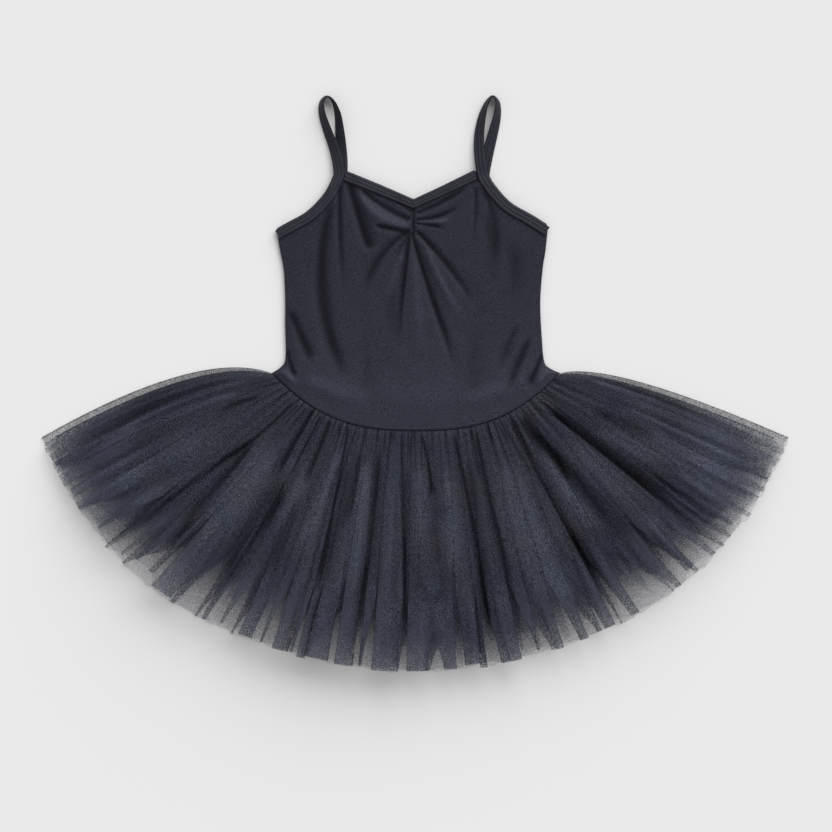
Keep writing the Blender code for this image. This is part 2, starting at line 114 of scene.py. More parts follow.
# Folds of the front: start, middle and end of a fold's line, height (below 0 is a trough), half width
# to the line's left and right, and the shares of its length over which it dies out at each end
FRONT_FOLDS = [
    # x0, y0, xm, ym, x1, y1, height, left, right, fade in, fade out
    (-65.5, 201.5, -55.0, 166.0, -43.5, 131.5, -2.8, 5.5, 4.0, 0.08, 0.14),
    (-61.3, 196.0, -35.5, 166.2, -3.4, 153.8, 1.7, 6.0, 6.0, 0.25, 0.12),
    (-40.5, 158.5, -21.5, 154.5, -3.5, 150.5, -2.3, 1.8, 3.6, 0.25, 0.04),
    (-54.5, 195.5, -28.5, 175.5, -3.5, 163.5, -1.8, 2.0, 2.8, 0.15, 0.06),
    (-22.5, 184.5, -11.5, 177.5, -2.5, 170.5, -0.9, 1.4, 1.6, 0.40, 0.06),
    (0.5, 169.5, 22.0, 178.5, 54.5, 197.5, -2.0, 1.6, 2.4, 0.06, 0.40),
    (0.5, 163.5, 19.5, 165.5, 45.5, 178.5, -2.0, 1.6, 2.6, 0.05, 0.45),
    (1.5, 161.5, 17.5, 161.0, 40.5, 162.5, 1.5, 3.0, 3.0, 0.10, 0.50),
    (0.5, 160.0, 13.5, 158.5, 31.5, 154.5, -1.5, 1.4, 1.8, 0.05, 0.40),
    (-3.0, 151.0, 14.8, 94.5, 34.5, 36.5, -2.7, 1.5, 1.9, 0.03, 0.50),
    (-2.0, 147.5, 15.0, 92.5, 44.5, 4.5, -1.4, 4.5, 3.5, 0.10, 0.40),
    (2.0, 152.5, 28.0, 124.5, 62.5, 73.5, -2.1, 2.8, 3.2, 0.05, 0.60),
    (1.5, 153.0, 13.5, 139.5, 26.5, 124.5, -1.0, 1.4, 1.4, 0.03, 0.60),
    (-4.5, 148.5, -10.8, 98.5, -17.8, 26.5, -2.2, 1.4, 4.6, 0.03, 0.75),
    (-7.5, 151.0, -35.5, 124.5, -51.0, 79.5, -1.6, 3.6, 4.6, 0.06, 0.50),
    (-6.5, 147.5, -14.5, 134.0, -20.5, 117.5, -0.9, 2.0, 2.5, 0.05, 0.50),
    (-1.5, 133.5, 1.5, 83.5, 5.5, 23.5, 1.0, 6.0, 6.0, 0.20, 0.50),
    (9.5, 137.5, 25.5, 101.5, 51.5, 53.5, 1.0, 4.0, 4.0, 0.12, 0.50),
    (-11.5, 131.5, -22.5, 103.5, -36.5, 63.5, 0.9, 5.0, 5.0, 0.15, 0.50),
    (-81.5, 184.5, -92.5, 95.5, -66.5, -0.5, -1.9, 6.0, 7.0, 0.14, 0.22),
    (-74.5, 199.5, -74.0, 146.5, -70.0, 85.5, -2.4, 2.2, 3.0, 0.05, 0.80),
    (-126.0, 76.5, -114.0, 48.5, -101.5, 17.5, -2.0, 4.6, 4.6, 0.20, 0.30),
    (-126.5, 35.5, -123.5, 18.5, -118.5, 3.5, -2.2, 2.2, 3.0, 0.15, 0.30),
    (-136.0, 15.0, -128.0, 8.0, -117.0, -3.0, 1.2, 3.0, 3.0, 0.30, 0.40),
    (117.5, 49.5, 104.5, 21.5, 90.5, -13.5, -1.7, 4.5, 4.5, 0.25, 0.30),
    (128.5, 31.5, 120.0, 10.5, 111.5, -7.5, -2.0, 3.0, 3.0, 0.20, 0.30),
    (105.5, 61.5, 93.5, 38.5, 82.5, 7.5, -0.9, 5.0, 5.0, 0.30, 0.40),
    (136.0, 14.0, 130.0, 8.0, 120.0, -3.0, 1.2, 3.0, 3.0, 0.30, 0.40),
    (61.5, 196.5, 61.0, 167.5, 55.5, 130.5, -1.7, 2.0, 2.4, 0.05, 0.92),
    (67.5, 196.5, 79.5, 167.5, 78.5, 113.5, -0.9, 3.0, 5.0, 0.10, 0.45),
    (72.2, 176.4, 78.4, 138.3, 79.5, 98.1, -0.8, 7.0, 9.0, 0.30, 0.55),
    (-19.9, 108.1, -23.0, 67.9, -16.9, 28.7, -0.5, 8.0, 9.0, 0.40, 0.45),
    (66.0, 66.0, 58.0, 20.0, 63.0, -24.0, -0.4, 10.0, 9.0, 0.45, 0.30),
    (-52.0, 60.0, -47.0, 18.0, -54.0, -22.0, -0.4, 10.0, 9.0, 0.45, 0.30),
    (96.0, 150.0, 100.0, 112.0, 96.0, 74.0, -0.7, 10.0, 8.0, 0.40, 0.50),
    (-114.5, 7.5, -82.5, -7.5, -40.5, -18.5, 0.9, 9.0, 8.0, 0.15, 0.30),
    (37.5, -19.5, 78.5, -8.5, 114.5, 8.5, 0.9, 9.0, 8.0, 0.30, 0.15),
    (-44.5, -8.5, 0.5, -14.5, 45.5, -8.5, 0.5, 20.0, 12.0, 0.20, 0.20),
]
FOLD_GAIN = 1.6           # how much higher the bodice's folds stand than their tables say
FOLD_START_WIDTH = 0.75   # width of a fold at its start, as a share of its table's
FOLD_WIDENING = 0.5       # how much it gains to its end
FULL_SHADE_DEPTH = 2.1    # depth of a trough whose bottom is fully in shade
TROUGH_SHADE_WIDTH = 0.7  # width of that shade, as a share of the trough's
RIDGE_LIGHT = 0.32        # shade that a ridge takes away for each mm of its height

# Centre gather: a seam from the point of the neck down to the pinch, with crimps to both sides
GATHER_X = -1.2
GATHER_TOP_Y = 176.0
GATHER_LOW_Y = 149.5
GATHER_DEPTH = 1.9
GATHER_HALF = 1.5
SWELL_HEIGHT = 0.9
SWELL_AWAY = 4.5
SWELL_HALF = 3.2
CRIMP_PITCH = 3.1
CRIMP_DEPTH = 0.672
CRIMP_LEAN = (0.62, 0.30)  # how steeply the crimps fall away, left and right of the seam
CRIMP_DRIFT = (1.5, 0.31)  # how far their phase drifts, and the radians of that drift per mm of y
CRIMP_START = 1.2          # distance from the seam at which they begin
CRIMP_REACH = 7.0          # and the distance over which they die out

# Shade of the front's folds and seams
FOLD_SHADE = 1.25
SEAM_SHADE_HALF = 1.3
WAIST_SHADE = 0.8
WAIST_SHADE_HALF = 1.1
LOW_LIGHT = 0.22       # painted light: how much lighter the front's colour is painted towards the waist
LOW_LIGHT_TOP_Y = 120  # y at which that begins
LOW_LIGHT_FADE = 150   # and the distance over which it comes in
SHADE_RISE = 1.3       # how fast the shade deepens to full

# Bindings and straps
BAND_ENDS = (-137.6, 132.2)  # x at which the armhole bindings are cut off along the side seams
BAND_GROOVES = (-1 / 3, 1 / 3)
BAND_ROUNDING = 5     # power by which a band rounds off to its edges
BAND_POINTS = 23      # across one face of a band
ARMHOLE_POINTS = 40   # along an armhole binding, of which every fourth steers the strap's path
STRAP_POINTS = 320    # along the whole strap
NECK_POINTS = 161     # along a neck binding
# Painted shade in a band's grooves and along its edges
GROOVE_SHADE = 0.38
EDGE_SHADE = 0.5
LAID_GAP = 0.12     # between the front panel and what lies on it
STITCH_LIFT = 0.12  # how far a stitch's middle lies above its groove
# The rings of points along one stitch: place in its pitch, how deep it is sunk, and its thickness
STITCH_RINGS = [(0.0, 0.30, 0.5), (0.18, 0.0, 1.0), (0.62, 0.0, 1.0), (0.80, 0.30, 0.5)]

# Net skirt, as in the solids. Shares are of the hem's width, from left to right, or of the net's
# length, from the waist down.
HEM_CENTRE = (0.5, 126.5)
HEM_RADIUS = 414.4
HEM_SWELL = 8.0                # how much fuller the arc of the hem is at its quarters
HEM_SWELL_POWER = 1.6
HEM_HALF_ANGLE = 64.2          # degrees
HEM_SPREAD = 0.07              # how unevenly the gathers spread from the waist to the hem
EDGE_LIFT_LEFT = (43.0, 58.0)  # how far the middle of each top edge is pulled out, across and up
EDGE_LIFT_RIGHT = (-63.0, 45.0)
EDGE_LIFT_SHARE = 0.1
FOLD_SHARE = 0.004             # width of a ring's side fold
NEST_SHARE = 0.0045            # how much further in each inner ring folds
NET = 1.1                      # thickness of a layer of gathered net
LAYER_GAP = 0.5                # between two layers
HEM_GAP = 0.6                  # and how much wider that is at the hem
PUFF_SHARE = 0.07              # width over which the front puffs up beside the side folds
HEM_WIDTH = 2 * math.radians(HEM_HALF_ANGLE) * HEM_RADIUS
WAIST_WIDTH = 291              # of the skirt at the waist, straight across
NET_LENGTH = 240.0
NET_STEP = (1.3, 2.6)          # across the hem between two columns of points, front and back
LOWEST_NET_Z = 0.4             # height above the floor that the lowest layer keeps

# Main folds of the front of the net, in the same form as the folds of the bodice's front
NET_FOLDS = [
    # x0, y0, xm, ym, x1, y1, height, left, right, fade in, fade out
    (-121.5, -18.5, -159.5, -54.5, -202.5, -84.5, -1.2, 2.6, 1.1, 0.04, 0.35),
    (-152.5, -49.5, -214.5, -92.5, -307.5, -163.5, -1.2, 4.6, 2.2, 0.15, 0.10),
    (-156.5, -56.5, -197.5, -107.5, -256.5, -179.5, -1.3, 1.2, 8.0, 0.10, 0.45),
    (-98.5, -24.5, -118.5, -59.5, -138.5, -96.5, -1.3, 1.4, 6, 0.04, 0.30),
    (-124.5, -78.5, -152.5, -126.5, -186.5, -164.5, -0.5, 8, 8, 0.40, 0.50),
    (-91.5, -28.5, -146.5, -130.5, -211.5, -235.5, -1.1, 2.6, 2.2, 0.03, 0.06),
    (-129.5, -103.5, -144.5, -130.5, -161.5, -156.5, -1.7, 6.5, 1.2, 0.25, 0.45),
    (-82.5, -36.5, -94.5, -68.5, -111.5, -104.5, -1.2, 1.4, 6, 0.04, 0.30),
    (-111.5, -104.5, -129.5, -156.5, -150.5, -218.5, -0.8, 6, 8, 0.25, 0.45),
    (-65.5, -42.5, -73.5, -86.5, -83.5, -136.5, -1.2, 1.3, 1.8, 0.04, 0.10),
    (-56.5, -40.5, -70.5, -84.5, -80.5, -124.5, -0.9, 1.2, 1.2, 0.05, 0.30),
    (-79.5, -124.5, -86.5, -158.5, -97.5, -211.5, -2.0, 1.6, 3.6, 0.22, 0.35),
    (-52.5, -62.5, -59.5, -108.5, -72.5, -161.5, -0.9, 1.4, 8, 0.20, 0.40),
    (-31.5, -56.5, -43.5, -156.5, -59.5, -280.5, -0.7, 1.6, 7, 0.15, 0.05),
    (-45.5, -166.5, -51.5, -206.5, -58.5, -256.5, -0.9, 2.6, 3, 0.30, 0.40),
    (-13.5, -46.5, -12.5, -106.5, -10.5, -176.5, -0.8, 2.2, 1.2, 0.05, 0.20),
    (-10.5, -138.5, -10.5, -196.5, -10.5, -248.5, -1.9, 2.4, 1, 0.30, 0.20),
    (7.5, -50.5, 16.5, -96.5, 18.5, -146.5, -1.3, 1.1, 3.2, 0.06, 0.30),
    (17.5, -116.5, 19.5, -166.5, 23.5, -226.5, -1.3, 1.5, 4, 0.25, 0.25),
    (39.5, -48.5, 57.5, -131.5, 77.5, -256.5, -1.1, 1.2, 5, 0.04, 0.08),
    (63.5, -172.5, 69.5, -211.5, 76.5, -256.5, -1.4, 2.6, 2.6, 0.25, 0.30),
    (61.5, -44.5, 74.5, -111.5, 104.5, -223.5, -1.1, 1.8, 6, 0.10, 0.15),
    (55.5, -46.5, 60.5, -71.5, 65.5, -96.5, -0.9, 1.2, 1.2, 0.05, 0.30),
    (25.5, -102.5, 29.5, -119.5, 33.5, -138.5, -0.5, 1.5, 2.5, 0.20, 0.30),
    (93.5, -34.5, 135.5, -116.5, 185.5, -204.5, -1.3, 5, 0.9, 0.04, 0.20),
    (99.5, -34.5, 107.5, -54.5, 119.5, -79.5, -0.9, 1.2, 1.2, 0.05, 0.30),
    (148.5, -141.5, 165.5, -172.5, 185.5, -208.5, -0.9, 10, 1.6, 0.30, 0.40),
    (105.5, -31.5, 156.5, -88.5, 225.5, -164.5, -1.3, 6, 12, 0.06, 0.40),
    (115.5, -43.5, 138.5, -69.5, 165.5, -100.5, -1.2, 1.6, 8, 0.15, 0.30),
    (130.5, -25.5, 191.5, -73.5, 261.5, -131.5, -2.0, 11.5, 1.5, 0.12, 0.32),
    (257.5, -116.5, 285.5, -134.5, 312.5, -151.5, -0.9, 3, 2, 0.30, 0.06),
    (128.5, -18.5, 141.5, -29.5, 155.5, -40.5, -1.4, 1.5, 1.8, 0.05, 0.20),
    (170.5, -24.5, 205.5, -37.5, 245.5, -52.5, -0.7, 9, 9, 0.30, 0.40),
    (85.5, -36.5, 105.5, -71.5, 130.5, -108.5, -0.5, 2, 2, 0.06, 0.30),
    (-152.5, -12.5, -174.5, -18.5, -200.5, -31.5, -1.1, 4, 2, 0.20, 0.50),
    (-166.5, 6.5, -244.5, -18.5, -352.5, -72.5, -0.7, 2, 6, 0.20, 0.20),
    (170.5, 7.5, 245.5, -16.5, 361.5, -74.5, -0.7, 5, 2, 0.10, 0.10),
    (-29.5, -44.5, -29.5, -56.5, -30.5, -71.5, -0.8, 1.4, 1.4, 0.05, 0.60),
    (-20.5, -45.5, -21.5, -53.5, -22.5, -62.5, -0.8, 1.2, 1.4, 0.05, 0.60),
    (-1.5, -46.5, -3.5, -61.5, -3.5, -78.5, -0.8, 1.4, 2.4, 0.05, 0.60),
    (-74.5, -38.5, -75.5, -46.5, -77.5, -56.5, -0.9, 1.8, 1.8, 0.05, 0.60),
    (-46.5, -44.5, -50.5, -56.5, -54.5, -68.5, -0.6, 1.4, 1.8, 0.05, 0.60),
    (72.5, -40.5, 75.5, -50.5, 79.5, -64.5, -0.8, 1.6, 1.6, 0.05, 0.60),
    (81.5, -38.5, 88.5, -50.5, 96.5, -66.5, -0.6, 1.4, 1.4, 0.05, 0.60),
    (109.5, -28.5, 117.5, -35.5, 126.5, -44.5, -0.7, 1.6, 1.6, 0.05, 0.60),
    (118.5, -23.5, 130.5, -28.5, 141.5, -36.5, -0.7, 1.4, 1.4, 0.05, 0.60),
    (-108.5, -24.5, -117.5, -36.5, -126.5, -48.5, -0.7, 1.4, 1.4, 0.05, 0.60),
    (-115.5, -20.5, -129.5, -34.5, -144.5, -46.5, -0.6, 1.4, 1.4, 0.05, 0.60),
    (-136.5, -48.5, -174.5, -108.5, -226.5, -172.5, 0.9, 13, 12, 0.25, 0.35),
    (-114.5, -68.5, -123.5, -86.5, -134.5, -108.5, 0.6, 4, 4, 0.30, 0.40),
    (-98.5, -64.5, -114.5, -102.5, -138.5, -156.5, 0.8, 4, 4.5, 0.25, 0.40),
    (-68.5, -52.5, -89.5, -106.5, -122.5, -188.5, 0.9, 4, 5, 0.25, 0.40),
    (-48.5, -68.5, -53.5, -121.5, -68.5, -221.5, 1.1, 7, 7, 0.20, 0.35),
    (-24.5, -71.5, -25.5, -136.5, -30.5, -216.5, 0.4, 6, 6, 0.30, 0.40),
    (4.5, -66.5, 5.5, -116.5, 2.5, -176.5, 0.6, 6, 5, 0.30, 0.40),
    (31.5, -66.5, 34.5, -126.5, 37.5, -206.5, 0.8, 7, 6, 0.30, 0.40),
    (85.5, -66.5, 107.5, -136.5, 133.5, -216.5, 1.0, 16, 16, 0.30, 0.40),
    (123.5, -56.5, 151.5, -106.5, 189.5, -156.5, 1.2, 4.5, 5, 0.20, 0.40),
    (141.5, -48.5, 189.5, -90.5, 253.5, -144.5, 0.6, 10, 12, 0.25, 0.40),
    (175.5, -43.5, 207.5, -62.5, 253.5, -88.5, 0.9, 4.5, 4.5, 0.25, 0.45),
    (187.5, -41.5, 225.5, -63.5, 257.5, -82.5, 0.7, 1.6, 1.6, 0.25, 0.45),
    (-164.5, 3.5, -238.5, -18.5, -314.5, -65.5, 1.7, 2.4, 2.6, 0.15, 0.30),
    (-167.5, -7.5, -246.5, -34.5, -342.5, -82.5, 1.5, 2.4, 3.2, 0.15, 0.30),
    (173.5, 4.5, 243.5, -21.5, 327.5, -57.5, 1.7, 3.2, 3.0, 0.15, 0.20),
    (-209.5, -86.5, -254.5, -111.5, -296.5, -132.5, 0.7, 8, 8, 0.30, 0.40),
    (195.5, -18.5, 265.5, -46.5, 337.5, -88.5, 0.9, 18, 16, 0.25, 0.25),
    (225.5, -46.5, 275.5, -78.5, 320.5, -116.5, 0.8, 14, 14, 0.30, 0.30),
    (-189.5, -48.5, -254.5, -74.5, -318.5, -102.5, 0.5, 16, 16, 0.30, 0.25),
    (225.5, -126.5, 250.5, -146.5, 275.5, -168.5, 0.7, 8, 8, 0.30, 0.25),
    (-174.5, -164.5, -178.5, -178.5, -186.5, -201.5, -0.4, 12, 12, 0.40, 0.40),
    (115.5, -136.5, 133.5, -176.5, 151.5, -226.5, 0.5, 16, 16, 0.30, 0.25),
    (50.5, -62.5, 60.5, -126.5, 74.5, -216.5, -0.5, 7, 7, 0.25, 0.30),
    (-36.5, -60.5, -38.5, -131.5, -45.5, -206.5, -0.4, 6, 6, 0.25, 0.30),
    (-64.5, -72.5, -78.5, -141.5, -94.5, -206.5, -0.4, 7, 7, 0.25, 0.30),
    (18.5, -76.5, 21.5, -131.5, 24.5, -206.5, -0.4, 4, 5, 0.25, 0.30),
    (-8.5, -76.5, -9.5, -131.5, -8.5, -206.5, -0.4, 5, 4, 0.25, 0.30),
]

# Knife pleats at the hem of the outer ring's front: where the free fold lies as a share of the hem,
# how far the cloth is folded under it, its depth, how far the valley beside it lies in shade, the
# share of the net's length over which it shows, and how far its end reaches past the hem.
# Folds left of the middle face left, and those right of it face right.
OUTER_PLEATS = [
    # share, fold, depth, valley, run, beyond
    (0.0080, 2.5, 0.4, 3.0, 0.90, 0), (0.0135, 3.5, 0.4, 4.0, 0.90, 0),
    (0.0215, 6.0, 0.5, 5.0, 0.90, 0), (0.0309, 11.0, 0.6, 6.0, 0.90, 1),
    (0.0460, 12.0, 0.7, 8.0, 0.80, -1), (0.0645, 9.0, 0.7, 6.0, 0.45, -2),
    (0.0816, 8.0, 0.9, 9.0, 0.50, 1), (0.1150, 2.0, 0.7, 10.0, 0.30, -3),
    (0.1362, 1.8, 1.2, 16.0, 0.50, 3), (0.1520, 2.2, 0.6, 6.0, 0.20, -4),
    (0.1667, 2.6, 1.0, 12.0, 0.30, -9), (0.1869, 4.5, 0.9, 9.0, 0.40, -10),
    (0.1998, 21.0, 1.2, 12.0, 0.45, 0), (0.2636, 3.5, 1.2, 18.0, 0.50, 3),
    (0.2830, 2.0, 0.5, 6.0, 0.20, -3), (0.3058, 13.0, 1.0, 12.0, 0.35, 0),
    (0.3300, 2.0, 0.5, 6.0, 0.15, -2), (0.3445, 11.0, 0.9, 10.0, 0.35, 0),
    (0.3640, 2.0, 0.5, 5.0, 0.15, -2), (0.3720, 8.0, 0.8, 8.0, 0.35, 1),
    (0.3830, 21.0, 1.0, 7.0, 0.35, -2), (0.4136, 18.0, 0.9, 7.0, 0.40, 0),
    (0.4400, 2.0, 0.5, 6.0, 0.15, -2), (0.4535, 26.0, 1.0, 10.0, 0.35, 1),
    (0.4916, 20.0, 0.8, 8.0, 0.35, 0), (0.5442, 12.0, 0.8, 7.0, 0.35, 1),
    (0.5701, 15.0, 0.9, 6.0, 0.35, -4), (0.5771, 6.5, 0.7, 7.0, 0.40, 1),
    (0.6148, 20.0, 1.1, 12.0, 0.40, 0), (0.6360, 2.0, 0.5, 6.0, 0.15, -3),
    (0.6614, 8.0, 0.8, 9.0, 0.30, 1), (0.6896, 8.0, 0.9, 9.0, 0.20, 1),
    (0.7212, 10.0, 1.0, 14.0, 0.50, 0), (0.7499, 8.0, 1.0, 12.0, 0.35, 2),
    (0.8030, 4.5, 1.1, 14.0, 0.40, 2), (0.8262, 8.0, 0.9, 8.0, 0.30, -6),
    (0.8525, 4.5, 1.1, 12.0, 0.35, 0), (0.8770, 2.4, 0.9, 10.0, 0.50, 1),
    (0.9080, 3.5, 0.9, 10.0, 0.35, 2), (0.9390, 4.0, 0.6, 7.0, 0.60, 4),
    (0.9560, 9.0, 0.7, 7.0, 0.80, 2), (0.9735, 8.0, 0.7, 6.0, 0.90, 3),
    (0.9850, 5.0, 0.5, 5.0, 0.90, 3),
]
TURN_SHARE = 0.52  # pleats before this share of the hem face left, the others right
SIDE_ROW = (0.0, 0.15, 5.0, 0.9, 0.0)  # a side fold as a pleat's row, after its share
PLAIN_VALLEY = 8   # of the pleats that have no table
PLAIN_RUN = 0.6
# One pleat from its free fold inwards. The offset of every column but the last counts in widths of
# the folded cloth, and the last one's in mm. From the turn on, the level counts in pleat depths.
PLEAT_PROFILE = [
    # offset, level, ply, shade, dense
    (0.0, 0.10, 0, 0.3, 0.2), (0.5, 0.03, 0, 0.2, 1.0), (0.96, 0.0, 0, 0.3, 1.0),
    (1.0, 0.02, 0.5, 1.2, 5.0), (0.96, 0.06, 1, 0.3, 1.0), (0.45, 0.5, 1, 0.2, 1.0),
    (0.0, 0.80, 1, 0.4, 1.4), (-0.75, 0.83, 1.5, 1.2, 5.0),
]
PLEAT_TURN = 3     # the row in which the cloth turns back under its free fold
# Rings of net from the outside in. The outer ring's front has its own pleats.
NET_RINGS = [
    # name, reach, front lift, back lift, front depth, back depth, front pleats, back pleats, fold
    ("skirt_outer", 0.992, 17.5, 0.0, 11.5, 4.4, 0, 22, 4.0),
    ("skirt_middle", 0.965, 13.6, 4.2, 4.4, 3.4, 30, 18, 8.0),
    ("skirt_inner", 0.890, 10.6, 7.6, 3.0, 2.8, 26, 16, 8.0),
]
NET_ROWS = 52
CORNER_REACH = 0.009   # how much further the outer ring reaches at the skirt's two corners
CORNER_FADE = 0.08     # and the width over which that ends
SIDE_REACH = 0.992     # how far the inner rings reach beside the side folds, less a step for each
SIDE_STEP = 0.004
LONGEST = 1.012        # furthest that any column reaches
FRONT_SHORTER = 0.009  # how much less the outer ring's front reaches at the quarters of the hem
BACK_LONGER = 0.011    # and how much further its back reaches there
QUARTER_SHARE = 0.22   # where the quarters of the hem lie, and their half width
QUARTER_HALF = 0.10
OUTWARD_SHARE = 0.4    # share of a pleat's length past the hem that is made, where it is longer
WEDGE_INSET = 1.0      # how much shorter the cloth hangs between two pleats' ends
WEDGE_RISE = 0.30      # share of the length over which the folded plies widen until they meet
WEDGE_FILL = 0.95      # share of the room to the next pleat that they then take up
SIDE_SHARE = 0.06      # width of the plain cloth beside a side fold
SIDE_FADE = 0.07       # and the width over which it ends
PLY_HEIGHT = 0.22      # between two plies of a pleat
PLAIN_SHARE = 0.012    # width beside a side fold without pleats, save in the outer ring's front
# A panel is the cloth between two pleats
PANEL_FOOT = 0.10      # level at which it comes to the foot of a pleat
ROLL_LEVEL = 0.3       # level of a free fold from which it rolls down at that fold
ROLL_DEPTH = 0.28      # how deep it rolls, as a share of that level
ROLL_SHARE = 0.24      # share of its width that rolls
RIDGE_HEIGHT = 0.15    # of its soft ridges, in pleat depths
RIDGE_PITCH = 14       # about how far apart they lie
TIP_EASE = 1.2         # distance over which its end goes over into a pleat's
# The gathers below the waist, and the pleats above the hem
GATHER_ROOM = (1.25, 0.30)        # depth of the fine gathers, in the outer ring's front and elsewhere
FOLD_RELIEF = (0.13, 0.08, 0.08)  # what a main fold adds to a ring's level for each mm of its height
MEAN_LEVEL = 0.45                 # level of the cloth above its pleats, in pleat depths
MOST_LEVEL = 1.2
INNER_SHOWS = 0.35                # how much of their pleats the fronts of the inner rings show
RIPPLE_DEPTH = 0.10               # in pleat depths
SIDE_RELIEF = 3.5                 # extra depth of the outer ring's pleats beside its side folds

# Waves over the net: height, radians per share of the width and of the length, and phase. They move
# the cloth sideways, shape its hem, gather and streak its top, thin it out and ripple its pleats.
WANDER = [(0.0011, 41.0, 2.6, 0.3), (0.0008, 67.0, -3.4, 1.7), (0.0005, 103.0, 4.5, 4.0)]
HEM_WAVES = [(0.0032, 57.0, 0, 0.4), (0.0026, 131.0, 0, 2.2), (0.0022, 233.0, 0, 4.1),
             (0.0018, 411.0, 0, 1.0), (0.0014, 617.0, 0, 5.0)]
GATHER_WAVES = [(0.55, 251.0, 3.0, 1.1), (0.5, 337.0, -4.0, 2.0), (0.35, 463.0, 5.0, 0.0)]
STROKES = [(0.55, 331.0, 0, 0.7), (0.45, 457.0, 0, 2.9), (0.4, 613.0, 0, 4.6), (0.3, 149.0, 0, 1.9)]
THIN_WAVES = [(0.016, 29.0, 0, 1.0), (0.014, 53.0, 0, 3.0), (0.012, 97.0, 0, 0.2)]
RIPPLE_WAVES = [(0.5, 87.0, 1.2, 0.6), (0.4, 139.0, -2.1, 2.9), (0.3, 211.0, 2.7, 5.1)]

# Painted light and shade of the net (its tone), and how dense it looks, where one flat layer is 1 dense
PAINTED_LOW_TONE = 0.76                 # painted shade: tone of the lowest cloth of a pleat
PAINTED_LIGHT_RISE = 0.42                # and how much lighter its highest cloth is painted
SHADE_FALL = 0.95               # how fast the tone falls with the shade
VALLEY_SHADE = 0.7
FOLD_EDGE_SHADE = 0.45          # shade of a panel at a free fold, and its width
FOLD_EDGE_WIDTH = 2.2
FOLD_DARKNESS = 2.1             # shade at the bottom of a main fold
FOLD_PALING = 0.35              # and how much of it is lost towards the hem
STROKE_SHADE = 1.2              # shade of the fine strokes below the waist, and their length
STROKE_LENGTH = 16
HEM_LIGHT = 0.75                # painted light: how much lighter the net is painted at the hem, where the floor shines through
HEM_LIGHT_FROM = 0.60
HEM_LIGHT_FADE = 0.22
PAINTED_SIDE_TONE = 0.7                 # painted shade: tone of the side folds
EDGE_LINE = 0.0012              # half the width of the line along each ring's side fold
EDGE_LINE_DENSE = 6.0
EDGE_DENSE = (1.2, 1.3, 1.3)    # how dense each ring looks beside that line
FOLDED_DENSE = (3.0, 1.6, 1.6)  # how dense the folded plies of each ring's front look
BACK_DENSE = 1.6                # and those of every back
PANEL_DENSE = 0.97              # how dense the cloth looks between two pleats
PANEL_SHADE_DENSE = 0.2         # and how much denser in full shade
TOP_GROWTH = 3.0                # how much denser the top ply looks in the gathers than at its hem
PLY_GROWTH = (0.0, 5.2, 6.0)    # plies gained per share of the length above an inner ring's hem
PLY_LEAST = 0.12
PLY_MOST = 9.0
EDGE_LINE_PLIES = 0.8           # least plies of the line along a side fold
DRAWN_AT_HEM = 1.05             # how far the cloth is still drawn together at the hem
THIN_FROM = 0.62                # share of the length from which the net looks thin
THIN_FADE = 0.3
# Where an inner ring thickens: how far below its reach that begins, how much sooner beside the side
# folds, and how much sooner at shares of the width
THICK_START = 0.006
SIDE_THICKENING = 0.16
THICKENING = [(0.0, 0.0), (0.10, -0.030), (0.20, -0.090), (0.30, -0.055), (0.45, -0.010), (0.60, 0.045),
              (0.70, 0.045), (0.80, 0.0), (0.90, 0.0), (1.0, 0.0)]

# Grain and tints of the finishes
KNIT_MOTTLE = (38.0, 3.0)          # scale and detail of the knit's soft unevenness
KNIT_GRAIN = (1150.0, 1.0)         # and of its fine grain
GRAIN_CONTRAST = 3.0
LOOPS_PER_METRE = 1100.0
LOOP_HEIGHT = 0.35                 # of the loops, where the ribs are 1 high
PAINTED_SHADE_TINT = (-0.94, -0.93, -0.88)  # what full painted shade takes away from red, green and blue
MESHES_PER_METRE = 1000.0
MESH_STRETCH = (1, 1, 0.04)        # across, up and high: the mesh goes straight through the cloth
MESH_CONTRAST = 2.0
THIN_MESH_CONTRAST = 1.9           # how much more the mesh shows where the cloth is thin
SPECK_CONTRAST = 0.28              # how much each mesh differs from the next
STREAKS_PER_METRE = 260.0
STREAK_STRETCH = (1.0, 0.06, 1.0)  # the streaks run down the cloth
STREAK_CONTRAST = 0.2
DRIFTS_PER_METRE = 24.0            # of the slow drift between the net's two tints
BLUER = (0.80, 0.94, 1.16)
GREYER = (1.14, 1.05, 0.90)
HEM_TINT = (0.94, 0.98, 1.12)

# Stage
FLOOR_HALF = 8.0             # metres
FLOOR_CONTRAST = 0.006
CAMERA_AIM = (1.5, -32.5)


class TutuSizes(bpy.types.PropertyGroup):
    """Sizes of the cloth and of its make."""
    cloth: FloatProperty(name="Bodice Cloth", description="Thickness of the bodice cloth",
                         default=1.0 * MM, min=0.4 * MM, max=2 * MM, unit="LENGTH")
    band: FloatProperty(name="Binding Thickness", description="Thickness of the folded binding",
                        default=2.0 * MM, min=1 * MM, max=3 * MM, unit="LENGTH")
    band_width: FloatProperty(name="Binding Width", description="Width of the binding and the straps",
                              default=11.0 * MM, min=8 * MM, max=14 * MM, unit="LENGTH")
    rib: FloatProperty(name="Binding Rib", description="Height of the ribs between the needle lines",
                       default=0.34 * MM, min=0, max=0.6 * MM, unit="LENGTH")
    stitch: FloatProperty(name="Stitch", description="Length of one stitch of the binding's seams",
                          default=2.6 * MM, min=1.5 * MM, max=5 * MM, unit="LENGTH")
    thread: FloatProperty(name="Thread", description="Thickness of the sewing thread",
                          default=0.3 * MM, min=0.1 * MM, max=0.6 * MM, unit="LENGTH")
    front_columns: IntProperty(name="Front Columns", description="Points across the front panel",
                               default=214, min=40, max=260)
    front_rows: IntProperty(name="Front Rows", description="Points down the front panel",
                            default=204, min=40, max=260)


